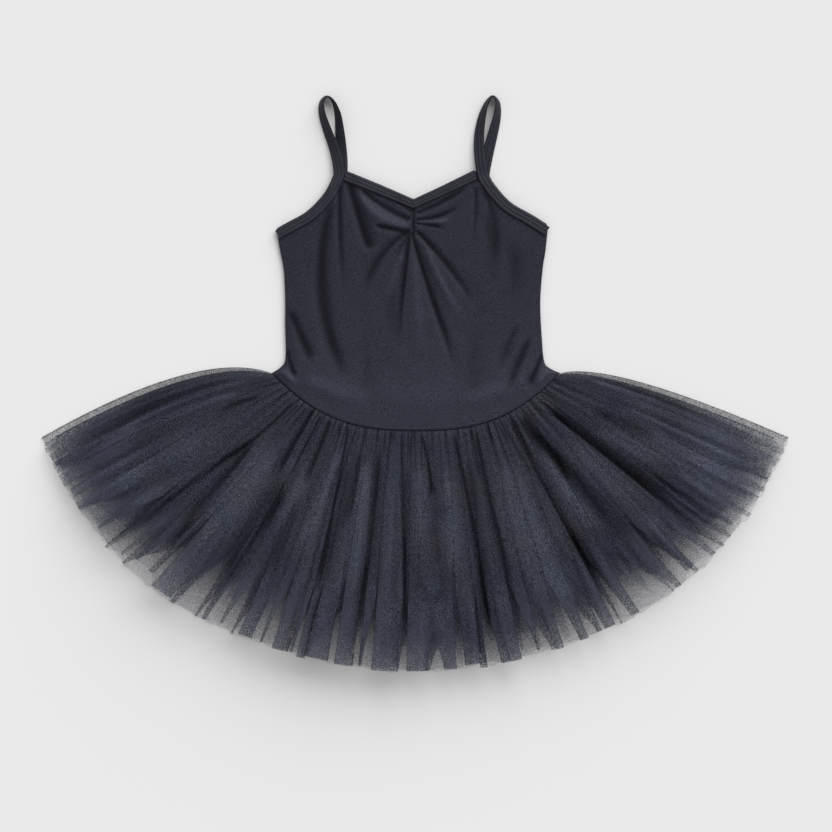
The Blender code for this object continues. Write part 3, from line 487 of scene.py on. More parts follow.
class TutuFinishes(bpy.types.PropertyGroup):
    """Colours and clearness of the cloths."""
    knit: FloatVectorProperty(name="Satin Knit", description="Colour of the bodice", subtype="COLOR",
                              size=3, default=(0.0230, 0.0232, 0.0345), min=0, max=1)
    binding: FloatVectorProperty(name="Binding", description="Colour of the binding and straps",
                                 subtype="COLOR", size=3, default=(0.0218, 0.0222, 0.0340), min=0, max=1)
    net: FloatVectorProperty(name="Net", description="Colour of the net's threads", subtype="COLOR",
                             size=3, default=(0.0320, 0.0331, 0.0436), min=0, max=1)
    thread: FloatVectorProperty(name="Thread", description="Colour of the sewing thread",
                                subtype="COLOR", size=3, default=(0.018, 0.018, 0.024), min=0, max=1)
    clearness: FloatProperty(name="Net Clearness", description="Light that one flat layer lets through",
                             subtype="FACTOR", default=0.865, min=0.3, max=0.95)


class TutuStudio(bpy.types.PropertyGroup):
    """Floor, light and camera."""
    floor: FloatVectorProperty(name="Floor", description="Colour of the floor", subtype="COLOR",
                               size=3, default=(0.80, 0.80, 0.80), min=0, max=1)
    sky: FloatProperty(name="Fill Light", description="Strength of the even light from all round",
                       default=0.445, min=0, max=2)
    sun: FloatProperty(name="Main Light", description="Strength of the large soft light",
                       default=3.48, min=0, max=10)
    sun_size: FloatProperty(name="Light Size", description="Angle that the soft light fills",
                            subtype="ANGLE", default=math.radians(64), min=0, max=math.pi)
    sun_height: FloatProperty(name="Light Height", description="Angle of the light above the floor",
                              subtype="ANGLE", default=math.radians(32), min=0.1, max=math.pi / 2)
    sun_side: FloatProperty(name="Light Side", description="Turn of the light from +Y towards +X",
                            subtype="ANGLE", default=math.radians(27), min=-math.pi, max=math.pi)
    camera_height: FloatProperty(name="Camera Height", description="Camera above the floor",
                                 default=4.0, min=1, max=20, unit="LENGTH")
    view_width: FloatProperty(name="View Width", description="Width of the floor in view",
                              default=0.832, min=0.1, max=5, unit="LENGTH")


# Curves and grids

def steps_of(line):
    """Lengths of the steps between a line's points."""
    return np.linalg.norm(np.diff(line, axis=0), axis=1)


def along_line(line):
    """Distance of each of a line's points from its first, along the line."""
    return np.concatenate([[0], np.cumsum(steps_of(line))])


def read_line(line, along, places):
    """A line's values at places along it, straight between its points."""
    return np.stack([np.interp(places, along, column) for column in line.T], -1)


def unit(vectors):
    """Vectors scaled to a length of 1."""
    return vectors / np.linalg.norm(vectors, axis=-1, keepdims=True)


def smooth_curve(rows, count):
    """Catmull-Rom curve through the rows, read at `count` points evenly spaced along it."""
    rows = np.array(rows, float)
    ends = np.vstack([2 * rows[0] - rows[1], rows, 2 * rows[-1] - rows[-2]])
    t = np.linspace(0, 1, 24, endpoint=False)[None, :, None]
    before, start, stop, after = (ends[k:len(ends) - 3 + k, None] for k in range(4))
    runs = 0.5 * (2 * start + (stop - before) * t
                  + (2 * before - 5 * start + 4 * stop - after) * t ** 2
                  + (3 * start - before - 3 * stop + after) * t ** 3)
    return even_points(np.vstack([runs.reshape(-1, rows.shape[1]), rows[-1:]]), count)


def even_points(line, count):
    """`count` points evenly spaced along a line of points, going by its first two or three columns."""
    line = np.array(line, float)
    along = along_line(line[:, :3])
    return read_line(line, along, np.linspace(0, along[-1], count))


def sideways(line):
    """Unit vectors to the left of a line's direction, seen from above."""
    forward = unit(np.gradient(line[:, :2], axis=0))
    return np.column_stack([-forward[:, 1], forward[:, 0]])


def ease(t):
    """0 below 0, 1 above 1, and a smooth step between them."""
    t = np.clip(t, 0, 1)
    return t * t * (3 - 2 * t)


def waves(x, y, rows):
    """Sum of sine waves over x and y: each row is a height, radians per unit of x and y, and a phase."""
    total = np.zeros(np.broadcast(x, y).shape)
    for height, per_x, per_y, phase in rows:
        total = total + height * np.sin(per_x * x + per_y * y + phase)
    return total


def with_z(plan, z):
    """Plan points with their heights."""
    return np.concatenate([plan, np.broadcast_to(z, plan.shape[:-1])[..., None]], -1)


def grid_quads(index, joined):
    """Quads of a grid of point numbers, whose rows close into rings where `joined`."""
    if joined:
        index = np.column_stack([index, index[:, 0]])
    quads = np.stack([index[:-1, :-1], index[:-1, 1:], index[1:, 1:], index[1:, :-1]], -1)
    return quads.reshape(-1, 4)


def add_mesh(name, points, faces, finish, uv=None, attributes=()):
    """A mesh object from points in millimetres, its quads, and values at its points."""
    mesh = bpy.data.meshes.new(name)
    points = np.asarray(points, float).reshape(-1, 3) * MM
    faces = np.asarray(faces, np.int32)
    mesh.vertices.add(len(points))
    mesh.vertices.foreach_set("co", points.ravel())
    mesh.loops.add(faces.size)
    mesh.loops.foreach_set("vertex_index", faces.ravel())
    mesh.polygons.add(len(faces))
    mesh.polygons.foreach_set("loop_start", np.arange(0, faces.size, faces.shape[1], dtype=np.int32))
    mesh.polygons.foreach_set("use_smooth", np.ones(len(faces), bool))
    mesh.update(calc_edges=True)
    if uv is not None:
        layer = mesh.uv_layers.new(name="cloth")
        layer.data.foreach_set("uv", np.asarray(uv, np.float32)[faces.ravel()].ravel())
    for key, values in attributes:
        mesh.attributes.new(key, "FLOAT", "POINT").data.foreach_set(
            "value", np.asarray(values, np.float32).ravel())
    mesh.validate()
    mesh.materials.append(finish)
    piece = bpy.data.objects.new(name, mesh)
    bpy.context.scene.collection.objects.link(piece)
    return piece


def add_wall(name, outer, inner, finish, uv, shade):
    """A closed wall between two grids of points, joined round their rim."""
    rows, columns = outer.shape[:2]
    index = np.arange(rows * columns).reshape(rows, columns)
    under = index + rows * columns
    around = np.concatenate([index[0, :-1], index[:-1, -1], index[-1, :0:-1], index[:0:-1, 0]])
    rim = grid_quads(np.stack([around, around + rows * columns]), True)
    faces = np.concatenate([grid_quads(index, False), grid_quads(under, False)[:, ::-1], rim[:, ::-1]])
    points = np.concatenate([outer.reshape(-1, 3), inner.reshape(-1, 3)])
    return add_mesh(name, points, faces, finish, np.concatenate([uv, uv]),
                    [("shade", np.concatenate([shade.ravel(), 0 * shade.ravel()]))])


def settle(piece, slot, *nodes):
    """The piece rides on the dress and stands for its nodes. Its slot is not used."""
    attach(piece, "root")
    if nodes:
        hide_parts(*nodes)


# Bodice

def waist_y(x):
    """The waist seam: its lowest y plus a drop times a power of the share across to its ends."""
    return WAIST_LOW_Y + WAIST_DROP * (np.abs(x - WAIST_MIDDLE_X) / WAIST_HALF) ** WAIST_POWER


def waist_point(share):
    """Points at shares of the waist seam's length, moved off the bodice by the seam gap."""
    x = np.linspace(WAIST_MIDDLE_X - WAIST_HALF, WAIST_MIDDLE_X + WAIST_HALF, WAIST_POINTS)
    line = np.column_stack([x, waist_y(x)])
    line = line - GAP * sideways(line)
    return read_line(line, along_line(line) / steps_of(line).sum(), share)


def fold_relief(x, y, rows):
    """Height and shade of the folds in a table: each is a Gaussian across a parabola, wider on one
    side than the other, times an eased step at either end. A trough shades its own bottom, by a
    narrower Gaussian, and a ridge takes shade away."""
    height = np.zeros(np.shape(x))
    shade = np.zeros(np.shape(x))
    for x0, y0, xm, ym, x1, y1, rise, left, right, fade_in, fade_out in rows:
        length = math.hypot(x1 - x0, y1 - y0)
        bow = ((ym - y0) * (x1 - x0) - (xm - x0) * (y1 - y0)) / length
        along = ((x - x0) * (x1 - x0) + (y - y0) * (y1 - y0)) / length ** 2
        across = ((y - y0) * (x1 - x0) - (x - x0) * (y1 - y0)) / length
        inside = np.clip(along, 0, 1)
        offset = across - bow * 4 * inside * (1 - inside)
        width = np.where(offset > 0, left, right) * (FOLD_START_WIDTH + FOLD_WIDENING * inside)
        fade = ease(along / fade_in) * ease((1 - along) / fade_out)
        height += rise * fade * np.exp(-(offset / width) ** 2)
        if rise < 0:
            near = np.exp(-(offset / (TROUGH_SHADE_WIDTH * width)) ** 2)
            shade += fade * (-rise / FULL_SHADE_DEPTH) * near
        else:
            shade -= RIDGE_LIGHT * fade * rise * np.exp(-(offset / width) ** 2)
    return height, shade


def gather_height(x, y):
    """Centre gather: a Gaussian groove down its seam with a swell to both sides, and crimps as
    leaning sines that die out sideways."""
    aside = x - GATHER_X
    down = (GATHER_TOP_Y - y) / (GATHER_TOP_Y - GATHER_LOW_Y)
    run = ease((down + 0.12) / 0.2) * ease((1.06 - down) / 0.1)
    groove = -GATHER_DEPTH * (0.55 + 0.45 * np.clip(down, 0, 1)) * np.exp(-(aside / GATHER_HALF) ** 2)
    swell = SWELL_HEIGHT * np.exp(-((np.abs(aside) - SWELL_AWAY) / SWELL_HALF) ** 2)
    lean = np.abs(aside) * np.where(aside < 0, *CRIMP_LEAN)
    drift = CRIMP_DRIFT[0] * np.sin(CRIMP_DRIFT[1] * y)
    crimp = np.sin(2 * np.pi * (y - lean) / CRIMP_PITCH + drift + np.sign(aside))
    reach = np.exp(-np.abs(aside) / CRIMP_REACH) * (1 - np.exp(-(aside / CRIMP_START) ** 2))
    return run * (groove + swell * np.clip(down, 0, 1) + CRIMP_DEPTH * crimp * reach)


def front_z(x, y):
    """Height of the front panel's lower face: seam height plus a puff times one minus a power of
    the share across, plus folds, gather and slack, rolled under by a Gaussian along the waist seam.
    The last millimetre above the lowest height is eased as an exponential."""
    left = np.interp(y, *np.array(SIDE_LEFT).T[::-1])
    right = np.interp(y, *np.array(SIDE_RIGHT).T[::-1])
    across = np.clip(np.abs(2 * x - left - right) / (right - left), 0, 1)
    crown = 1 - across ** SIDE_ROUNDING
    top = SIDE_LEFT[-1][1]
    seam = np.interp(y, [0, top], [FRONT_SEAM_Z, FRONT_ARMHOLE_Z])
    puff = np.interp(y, [WAIST_LOW_Y, top / 2, NECK_UPPER[-1][1]],
                     [FRONT_WAIST_Z, FRONT_CHEST_Z, FRONT_NECK_Z])
    z = seam + (puff - seam) * crown
    z = z + (FOLD_GAIN * fold_relief(x, y, FRONT_FOLDS)[0] + waves(x, y, SLACK)) * crown
    z = z + gather_height(x, y)
    z = z - WAIST_ROLL * np.exp(-((y - waist_y(x)) / WAIST_ROLL_HALF) ** 2) * crown
    low = seam + np.clip(LOWEST_FRONT_Z - seam, 0, None) * crown
    return low + np.where(z > low + 1, z - low, np.exp(np.clip(z - low - 1, -8, 0)))


def front_shade(x, y):
    """How far the cloth lies in the painted shade of its folds and seams, which darkens its colour: 0
    where it is open, near 1 at the bottom of a deep fold as one minus an exponential, and below 0 where
    a ridge is lit or the front is painted lighter towards the waist."""
    run = ease((GATHER_TOP_Y + 4 - y) / 5) * ease((y - GATHER_LOW_Y + 3) / 4)
    seam = run * np.exp(-(np.abs(x - GATHER_X) / SEAM_SHADE_HALF) ** 2)
    waist = WAIST_SHADE * np.exp(-((y - waist_y(x)) / WAIST_SHADE_HALF) ** 2)
    lit = LOW_LIGHT * ease((LOW_LIGHT_TOP_Y - y) / LOW_LIGHT_FADE)
    folds = FOLD_SHADE * fold_relief(x, y, FRONT_FOLDS)[1]
    dark = np.clip(folds + seam + waist - lit, -0.6, 2)
    return np.where(dark > 0, 1 - np.exp(-SHADE_RISE * dark), dark)


def level_steps(line, corners, steps):
    """Points of a line at steps of x between its corners, a number of steps for each stretch. The
    steps are even, but grow smaller towards the middle of the neck."""
    runs = [np.linspace(a, b, n, endpoint=False) for a, b, n in zip(corners, corners[1:], steps)]
    for run, a, b in ((runs[2], corners[2], corners[3]), (runs[3], corners[4], corners[3])):
        t = (run - a) / (b - a)
        run[:] = a + (b - a) * t * (1 + NECK_CROWDING - NECK_CROWDING * t)
    x = np.concatenate(runs + [corners[-1:]])
    return np.column_stack([x, np.interp(x, *line.T)])


def panel_plan(side_left, side_right, top, rows):
    """Plan grid of a panel between its four edges, blended in from all of them (a Coons patch)."""
    low_x = np.interp(top[:, 0], top[[0, -1], 0], [side_left[0][0], side_right[0][0]])
    low = np.column_stack([low_x, waist_y(low_x)])
    left = even_points(smooth_curve(side_left, EDGE_POINTS), rows)
    right = even_points(smooth_curve(side_right, EDGE_POINTS), rows)
    left[[0, -1]] = low[0], top[0]
    right[[0, -1]] = low[-1], top[-1]
    u = np.linspace(0, 1, len(top))[None, :, None]
    v = np.linspace(0, 1, rows)[:, None, None]
    upright = (1 - v) * low[None] + v * top[None]
    level = (1 - u) * left[:, None] + u * right[:, None]
    corner = (1 - u) * upright[:, :1] + u * upright[:, -1:]
    return upright + level - corner


def beside(line, reach):
    """The line moved to its left by `reach`, or to its right where that is below 0."""
    fine = smooth_curve(line, EDGE_POINTS)
    return fine + reach * sideways(fine)


def make_front(sizes, finish):
    """Front panel: armholes, strap roots, shallow V and rounded waist, as one thin closed wall."""
    inset = sizes.band_width / MM / 2 - NECK_LAP
    left = beside(ARMHOLE_LEFT, inset)
    right = beside(ARMHOLE_RIGHT, -inset)
    neck = np.array(NECK_UPPER) - (0, NECK_LAP)
    top_line = np.vstack([left, neck, right[::-1]])
    corners = [left[0, 0], left[-1, 0], neck[0, 0], neck[2, 0], neck[-1, 0], right[-1, 0], right[0, 0]]
    steps = np.round(np.array(TOP_SHARES) * sizes.front_columns).astype(int).tolist()
    plan = panel_plan(SIDE_LEFT, SIDE_RIGHT, level_steps(top_line, corners, steps), sizes.front_rows)
    low = front_z(plan[..., 0], plan[..., 1])
    piece = add_wall("bodice_front_satin", with_z(plan, low + sizes.cloth / MM), with_z(plan, low),
                     finish, plan.reshape(-1, 2) * MM, front_shade(plan[..., 0], plan[..., 1]))
    settle(piece, "knit", "bodice_front")
    return piece


def make_back(sizes, finish):
    """Back panel: lies on the surface, cut lower at the neck, with a little slack in its upper face."""
    inset = sizes.band_width / MM / 2 + 1.5 * GAP
    left = beside(BACK_ARMHOLE_LEFT, -inset)
    right = beside(BACK_ARMHOLE_RIGHT, inset)
    neck = even_points(smooth_curve(BACK_NECK_LOWER, 2 * EDGE_POINTS), BACK_NECK_POINTS)
    neck = neck - GAP * sideways(neck)
    left = even_points(left[left[:, 0] < neck[0, 0] - GAP], BACK_ARMHOLE_POINTS)
    right = even_points(right[right[:, 0] > neck[-1, 0] + GAP], BACK_ARMHOLE_POINTS)
    side_left = [row for row in SIDE_LEFT if row[1] < left[0, 1]] + [tuple(left[0])]
    side_right = [row for row in SIDE_RIGHT if row[1] < right[0, 1]] + [tuple(right[0])]
    plan = panel_plan(side_left, side_right, np.vstack([left, neck, right[::-1]]), BACK_ROWS)
    top = BACK_TOP_Z + waves(plan[..., 0], plan[..., 1], BACK_SLACK) * 0.5
    piece = add_wall("bodice_back_satin", with_z(plan, top), with_z(plan, 0.0), finish,
                     plan.reshape(-1, 2) * MM, 0 * top)
    settle(piece, "knit", "bodice_back")
    return piece


# Bindings and straps

def band_profile(sizes):
    """Closed profile of a band: across from -1 to 1, rounded at both edges, with three ribs on
    either face as a cosine of the place across."""
    across = np.sin(np.linspace(-0.5, 0.5, BAND_POINTS) * math.pi)
    across = 0.55 * across + 0.45 * np.linspace(-1, 1, BAND_POINTS)
    body = (1 - np.abs(across) ** BAND_ROUNDING) ** 0.5
    rib = sizes.rib / MM * (np.cos(3 * math.pi * across) - 1) * 0.5
    half = sizes.band / MM / 2
    upper = half * body + rib * body
    lower = -half * body - 0.5 * rib * body
    across = np.concatenate([across, across[-2:0:-1]])
    lift = np.concatenate([upper, lower[-2:0:-1]])
    return across, lift


def add_band(name, centre, wide, thick, sizes, finish):
    """A band: its profile carried along a path, scaled by the vectors across and through it, and
    closed by a fan-like strip of quads at both ends."""
    across, lift = band_profile(sizes)
    points = (centre[:, None] + wide[:, None] * across[:, None] + thick[:, None] * lift[:, None])
    points[..., 0] = np.clip(points[..., 0], *BAND_ENDS)
    count, corners = points.shape[:2]
    index = np.arange(count * corners).reshape(count, corners)
    faces = [grid_quads(index, True)]
    half = corners // 2
    for ring, turn in ((index[0], 1), (index[-1], -1)):
        upper, lower = ring[:half + 1], np.append(ring[0], ring[:half - 1:-1])
        cap = np.column_stack([upper[:-1], upper[1:], lower[1:], lower[:-1]])[1:-1]
        tips = np.array([[upper[0], upper[1], lower[1], lower[1]],
                         [upper[-2], upper[-1], lower[-2], lower[-2]]])
        faces += [cap[:, ::turn], tips[:, ::turn]]
    uv = np.stack([np.broadcast_to(along_line(centre)[:, None], (count, corners)),
                   np.broadcast_to(across * sizes.band_width / MM / 2, (count, corners))], -1)
    # painted shade: darker in the grooves between the ribs and along both rounded edges
    groove = GROOVE_SHADE * (1 - np.cos(3 * math.pi * across)) / 2
    groove = groove + EDGE_SHADE * ease((np.abs(across) - 0.86) / 0.12)
    return add_mesh(name, points, np.concatenate(faces), finish, uv.reshape(-1, 2) * MM,
                    [("shade", np.broadcast_to(groove, (count, corners)))])


def on_front(x, y, sizes):
    """Lowest height for what lies on the front panel."""
    return front_z(x, y) + sizes.cloth / MM + LAID_GAP


def lay_on_front(line, sizes):
    """Rows x, y, z, turn of a band's middle line laid on the front panel."""
    width = sizes.band_width / MM
    aside = sideways(line) * width / 2
    left = on_front(*(line + aside).T, sizes)
    right = on_front(*(line - aside).T, sizes)
    level = np.maximum((left + right) / 2, on_front(*line.T, sizes))
    turn = np.degrees(np.arctan2(right - left, width))
    return np.column_stack([line, level + sizes.band / MM / 2, turn])


def strap_path(front, loop, back, back_turn, sizes):
    """Centre, half width and thickness vectors of a strap: up the front armhole, over its free
    loop and down the back armhole. The width is turned about the path by the fourth column."""
    front_rows = lay_on_front(smooth_curve(front, ARMHOLE_POINTS), sizes)
    back_line = smooth_curve(back, ARMHOLE_POINTS)[::-1]
    half = sizes.band / MM / 2
    back_rows = np.column_stack([back_line, np.tile((half, back_turn), (ARMHOLE_POINTS, 1))])
    path = smooth_curve(np.vstack([front_rows[::4], front_rows[-1:], loop, back_rows[:1],
                                   back_rows[3::4]]), STRAP_POINTS)
    turn = np.radians(path[:, 3:])
    width = sizes.band_width / MM / 2
    least = width * np.abs(np.sin(turn[:, 0])) + half * np.abs(np.cos(turn[:, 0]))
    centre = np.column_stack([path[:, :2], np.maximum(path[:, 2], least)])
    right = np.column_stack([-sideways(centre), np.zeros(len(centre))])
    across = np.cos(turn) * right + np.sin(turn) * (0, 0, 1)
    return centre, across * width, unit(np.cross(across, np.gradient(centre, axis=0)))


def neck_path(upper, lower, low, sizes):
    """Centre, half width and thickness vectors of a neck binding between its two edges, laid on
    the heights that `low` gives."""
    upper = even_points(smooth_curve(upper, 240) if len(upper) > 5 else upper, NECK_POINTS)
    lower = even_points(smooth_curve(lower, 240) if len(lower) > 5 else lower, NECK_POINTS)
    middle = (upper + lower) / 2
    feet = [low(*edge.T) for edge in (upper, lower)]
    base = np.maximum((feet[0] + feet[1]) / 2, low(*middle.T))
    tilt = (feet[0] - feet[1]) / 2
    centre = np.column_stack([middle, base + sizes.band / MM / 2])
    wide = np.column_stack([(lower - upper) / 2, -tilt])
    outward = unit(np.cross(np.gradient(centre, axis=0), wide))
    return centre, wide, outward * np.sign(outward[:, 2:])


def stitch_rods(centre, wide, thick, sizes):
    """Stitches along a band: short six-sided rods laid in its two grooves, one for each pitch, with
    both ends sunk into the band."""
    across, lift = band_profile(sizes)
    half = len(across) // 2 + 1
    along = along_line(centre)
    pitch = sizes.stitch / MM
    count = int(along[-1] / pitch) - 1
    start = (np.arange(count) + 0.6) * pitch
    places, bury, swell = np.array(STITCH_RINGS).T
    t = start[:, None] + places * pitch
    ring = np.linspace(0, 2 * math.pi, 6, endpoint=False)
    points = []
    for groove in BAND_GROOVES:
        level = np.interp(groove, across[:half], lift[:half]) + STITCH_LIFT
        side = unit(read_line(wide, along, t))
        up = read_line(thick, along, t)
        base = read_line(centre + wide * groove, along, t) + up * (level - bury)[None, :, None]
        radius = (sizes.thread / MM / 2 * swell)[None, :, None, None]
        rods = (base[:, :, None] + radius * (np.cos(ring)[:, None] * side[:, :, None]
                                             + np.sin(ring)[:, None] * up[:, :, None]))
        points.append(rods.reshape(-1, 4, 6, 3))
    return np.concatenate(points)


def add_rods(name, rods, finish):
    """Rods of rings of six points as one mesh, closed at both ends."""
    count, rings, corners = rods.shape[:3]
    one = np.arange(rings * corners).reshape(rings, corners)
    faces = [grid_quads(one, True)]
    for ring in (one[0], one[-1][::-1]):
        faces.append(ring[np.array([[0, 3, 2, 1], [0, 5, 4, 3]])])
    faces = np.concatenate(faces)
    faces = (faces[None] + (np.arange(count) * rings * corners)[:, None, None]).reshape(-1, 4)
    return add_mesh(name, rods, faces, finish)


# Net

def hem_point(share):
    """Points at shares of the hem's angle: an arc, fuller at its quarters."""
    turn = (2 * share - 1) * math.radians(HEM_HALF_ANGLE)
    swell = np.sin(math.pi * np.abs(2 * share - 1) ** HEM_SWELL_POWER) ** 2
    radius = HEM_RADIUS + HEM_SWELL * swell
    return np.stack([HEM_CENTRE[0] + radius * np.sin(turn), HEM_CENTRE[1] - radius * np.cos(turn)], -1)


def spread(share):
    """Share of the hem that a gather reaches from its share of the waist."""
    return share + HEM_SPREAD * np.sin(2 * math.pi * share)


def skirt_place(share, down):
    """Plan position at a share of the width and a share of the way down: a quadratic Bezier curve
    from the waist to the hem, whose middle is lifted along the skirt's top edges."""
    start = waist_point(share)
    end = hem_point(spread(share))
    left = np.clip(1 - share / EDGE_LIFT_SHARE, 0, None)[..., None] ** 2
    right = np.clip(1 - (1 - share) / EDGE_LIFT_SHARE, 0, None)[..., None] ** 2
    middle = (start + end) / 2 + left * EDGE_LIFT_LEFT + right * EDGE_LIFT_RIGHT
    down = down[..., None]
    return (1 - down) ** 2 * start + 2 * down * (1 - down) * middle + down ** 2 * end


def from_sides(share, start, width):
    """0 up to a share of the skirt's width from either side fold, then an eased rise to 1."""
    return ease((np.minimum(share, 1 - share) - start) / width)


def uneven_pleats(count, widest, phase, first, last):
    """Pleat rows whose places drift by a sine and whose folds and depths vary by others."""
    k = np.arange(count)
    place = first + (last - first) * (k + 0.5 + 0.27 * np.sin(2.4 * k + phase)) / count
    fold = widest * (0.12 + 0.88 * (0.5 + 0.5 * np.sin(1.73 * k + 1.9 * phase)) ** 2)
    room = 0.7 * (last - first) / count * HEM_WIDTH
    depth = 0.70 + 0.30 * np.sin(2.9 * k + phase)
    same = np.ones(count)
    return np.column_stack([place, np.minimum(fold, room), depth, PLAIN_VALLEY * same, PLAIN_RUN * same,
                            0 * same])


def pleat_columns(rows, first, last, density, step):
    """The columns of a half ring, from its pleat rows. Each has nine values: its share of the hem,
    its offset from its free fold, its level in the pleat, its ply, its shade, how dense the cloth
    is, how far up the pleat shows, how far its end lies past the hem, and how much its folded plies
    widen upwards.

    A pleat rises to its free fold, turns back under it and turns again inside, so three plies lie
    over each other there. Left of the middle the folded cloth lies to the right of its free fold,
    and right of the middle it lies to the left."""
    runs = []
    before = (first, *SIDE_ROW)
    for number, row in enumerate([*map(tuple, rows), (last, *SIDE_ROW)]):
        runs.append(panel_run(before, row, number, step))
        before_place, before = before[0], row
        if number == len(rows):
            break
        place, fold, depth, _, run, beyond = row
        faces_left = place < TURN_SHARE
        zig = np.array(PLEAT_PROFILE)
        zig[PLEAT_TURN:, 1] *= depth
        zig[:-1, 0] *= fold
        follows = rows[number + 1][0] if number + 1 < len(rows) else last
        room = (follows - place if faces_left else place - before_place) * HEM_WIDTH
        grow = np.full(len(zig), max(0.0, WEDGE_FILL * room / max(fold, 1.0) - 1))
        grow[-1] = 0.0
        zig[:, 0] *= (1 if faces_left else -1) / HEM_WIDTH
        zig[:, 4] = 1 + (density - 1) * zig[:, 4] * (0.12 + 0.88 * from_sides(place, SIDE_SHARE, 0.3))
        if not faces_left:
            zig, grow = zig[::-1], grow[::-1]
        same = np.ones(len(zig))
        runs.append(np.column_stack([place * same, zig, run * same, beyond * same, grow]))
    return np.vstack(runs)


def panel_run(before, after, number, step):
    """Columns across the panel between two pleats, with the same nine values: an eased slope with
    soft ridges, rolled down as a sine at a free fold, in a shade that dies out as an exponential over
    the width of a valley, and shorter than the pleats' ends by the wedge inset."""
    start, stop = before[0], after[0]
    width = (stop - start) * HEM_WIDTH
    t = np.linspace(0, 1, max(3, int(round(width / step))))
    ends = []
    for row, away, opens in ((before, t, start < TURN_SHARE), (after, 1 - t, stop >= TURN_SHARE)):
        free = row[2] if opens else PANEL_FOOT
        ends.append((free, 0.0 if opens and row[1] else row[3], away, row[1] if opens else 0.0))
    level = ends[0][0] + (ends[1][0] - ends[0][0]) * ease(t)
    shade, ply, tip = np.zeros(len(t)), np.zeros(len(t)), np.zeros(len(t))
    for free, valley, away, fold in ends:
        if valley:
            shade = np.maximum(shade, VALLEY_SHADE * np.exp(-(away * width / valley) * 1.4))
        if free > ROLL_LEVEL:
            roll = 1 - np.sin(np.clip(away / ROLL_SHARE, 0, 1) * math.pi / 2)
            level = level - ROLL_DEPTH * free * roll
            shade = np.maximum(shade, FOLD_EDGE_SHADE * np.exp(-(away * width / FOLD_EDGE_WIDTH)))
            ply = np.maximum(ply, 2.0 * ease(1 - 3 * away))
        tip = np.maximum(tip, ease((fold + TIP_EASE - away * width) / TIP_EASE))
    ridges = RIDGE_HEIGHT * np.sin(2 * math.pi * t * max(1, round(width / RIDGE_PITCH)) + 2.1 * number)
    level = level + ridges * np.sin(math.pi * t) * min(1, width / 16)
    run = before[4] + (after[4] - before[4]) * t
    inset = WEDGE_INSET * (0.2 + 0.8 * ease((min(start, 1 - stop) - SIDE_SHARE) / SIDE_FADE))
    beyond = before[5] + (after[5] - before[5]) * ease(t) - inset * (1 - tip)
    return np.column_stack([start + (stop - start) * t, 0 * t, level, ply, shade,
                            PANEL_DENSE + PANEL_SHADE_DENSE * shade, run, beyond, 0 * t])


def phased(rows, phase):
    """Rows for `waves` with their phases moved on."""
    return [(*row[:3], row[3] + phase) for row in rows]


def hem_length(order, front, reach, share, beyond, phase):
    """How far each column of a half ring hangs, as a share of the net's length: its ring's reach
    plus waves. The outer ring's front also follows its pleats' ends, is longer at the skirt's
    corners and shorter at its quarters by a Gaussian. The inner rings reach further at the sides."""
    length = reach + waves(share, 0, phased(HEM_WAVES, phase))
    if order:
        beside_edge = 1 - from_sides(share, SIDE_SHARE, SIDE_FADE)
        return length + (SIDE_REACH - SIDE_STEP * order - length) * beside_edge
    length = length + CORNER_REACH * (1 - from_sides(share, SIDE_SHARE, CORNER_FADE))
    at_quarters = np.exp(-((np.minimum(share, 1 - share) - QUARTER_SHARE) / QUARTER_HALF) ** 2)
    if front:
        past_hem = np.where(beyond > 0, OUTWARD_SHARE * beyond, beyond) / NET_LENGTH
        return length + past_hem - FRONT_SHORTER * at_quarters
    return length + BACK_LONGER * at_quarters


def edge_density(order, place):
    """How dense a ring looks beside its side folds, rising from 1 as the cloth spreads."""
    return 1 + (EDGE_DENSE[order] - 1) * ease((place - 0.2) / 0.4)


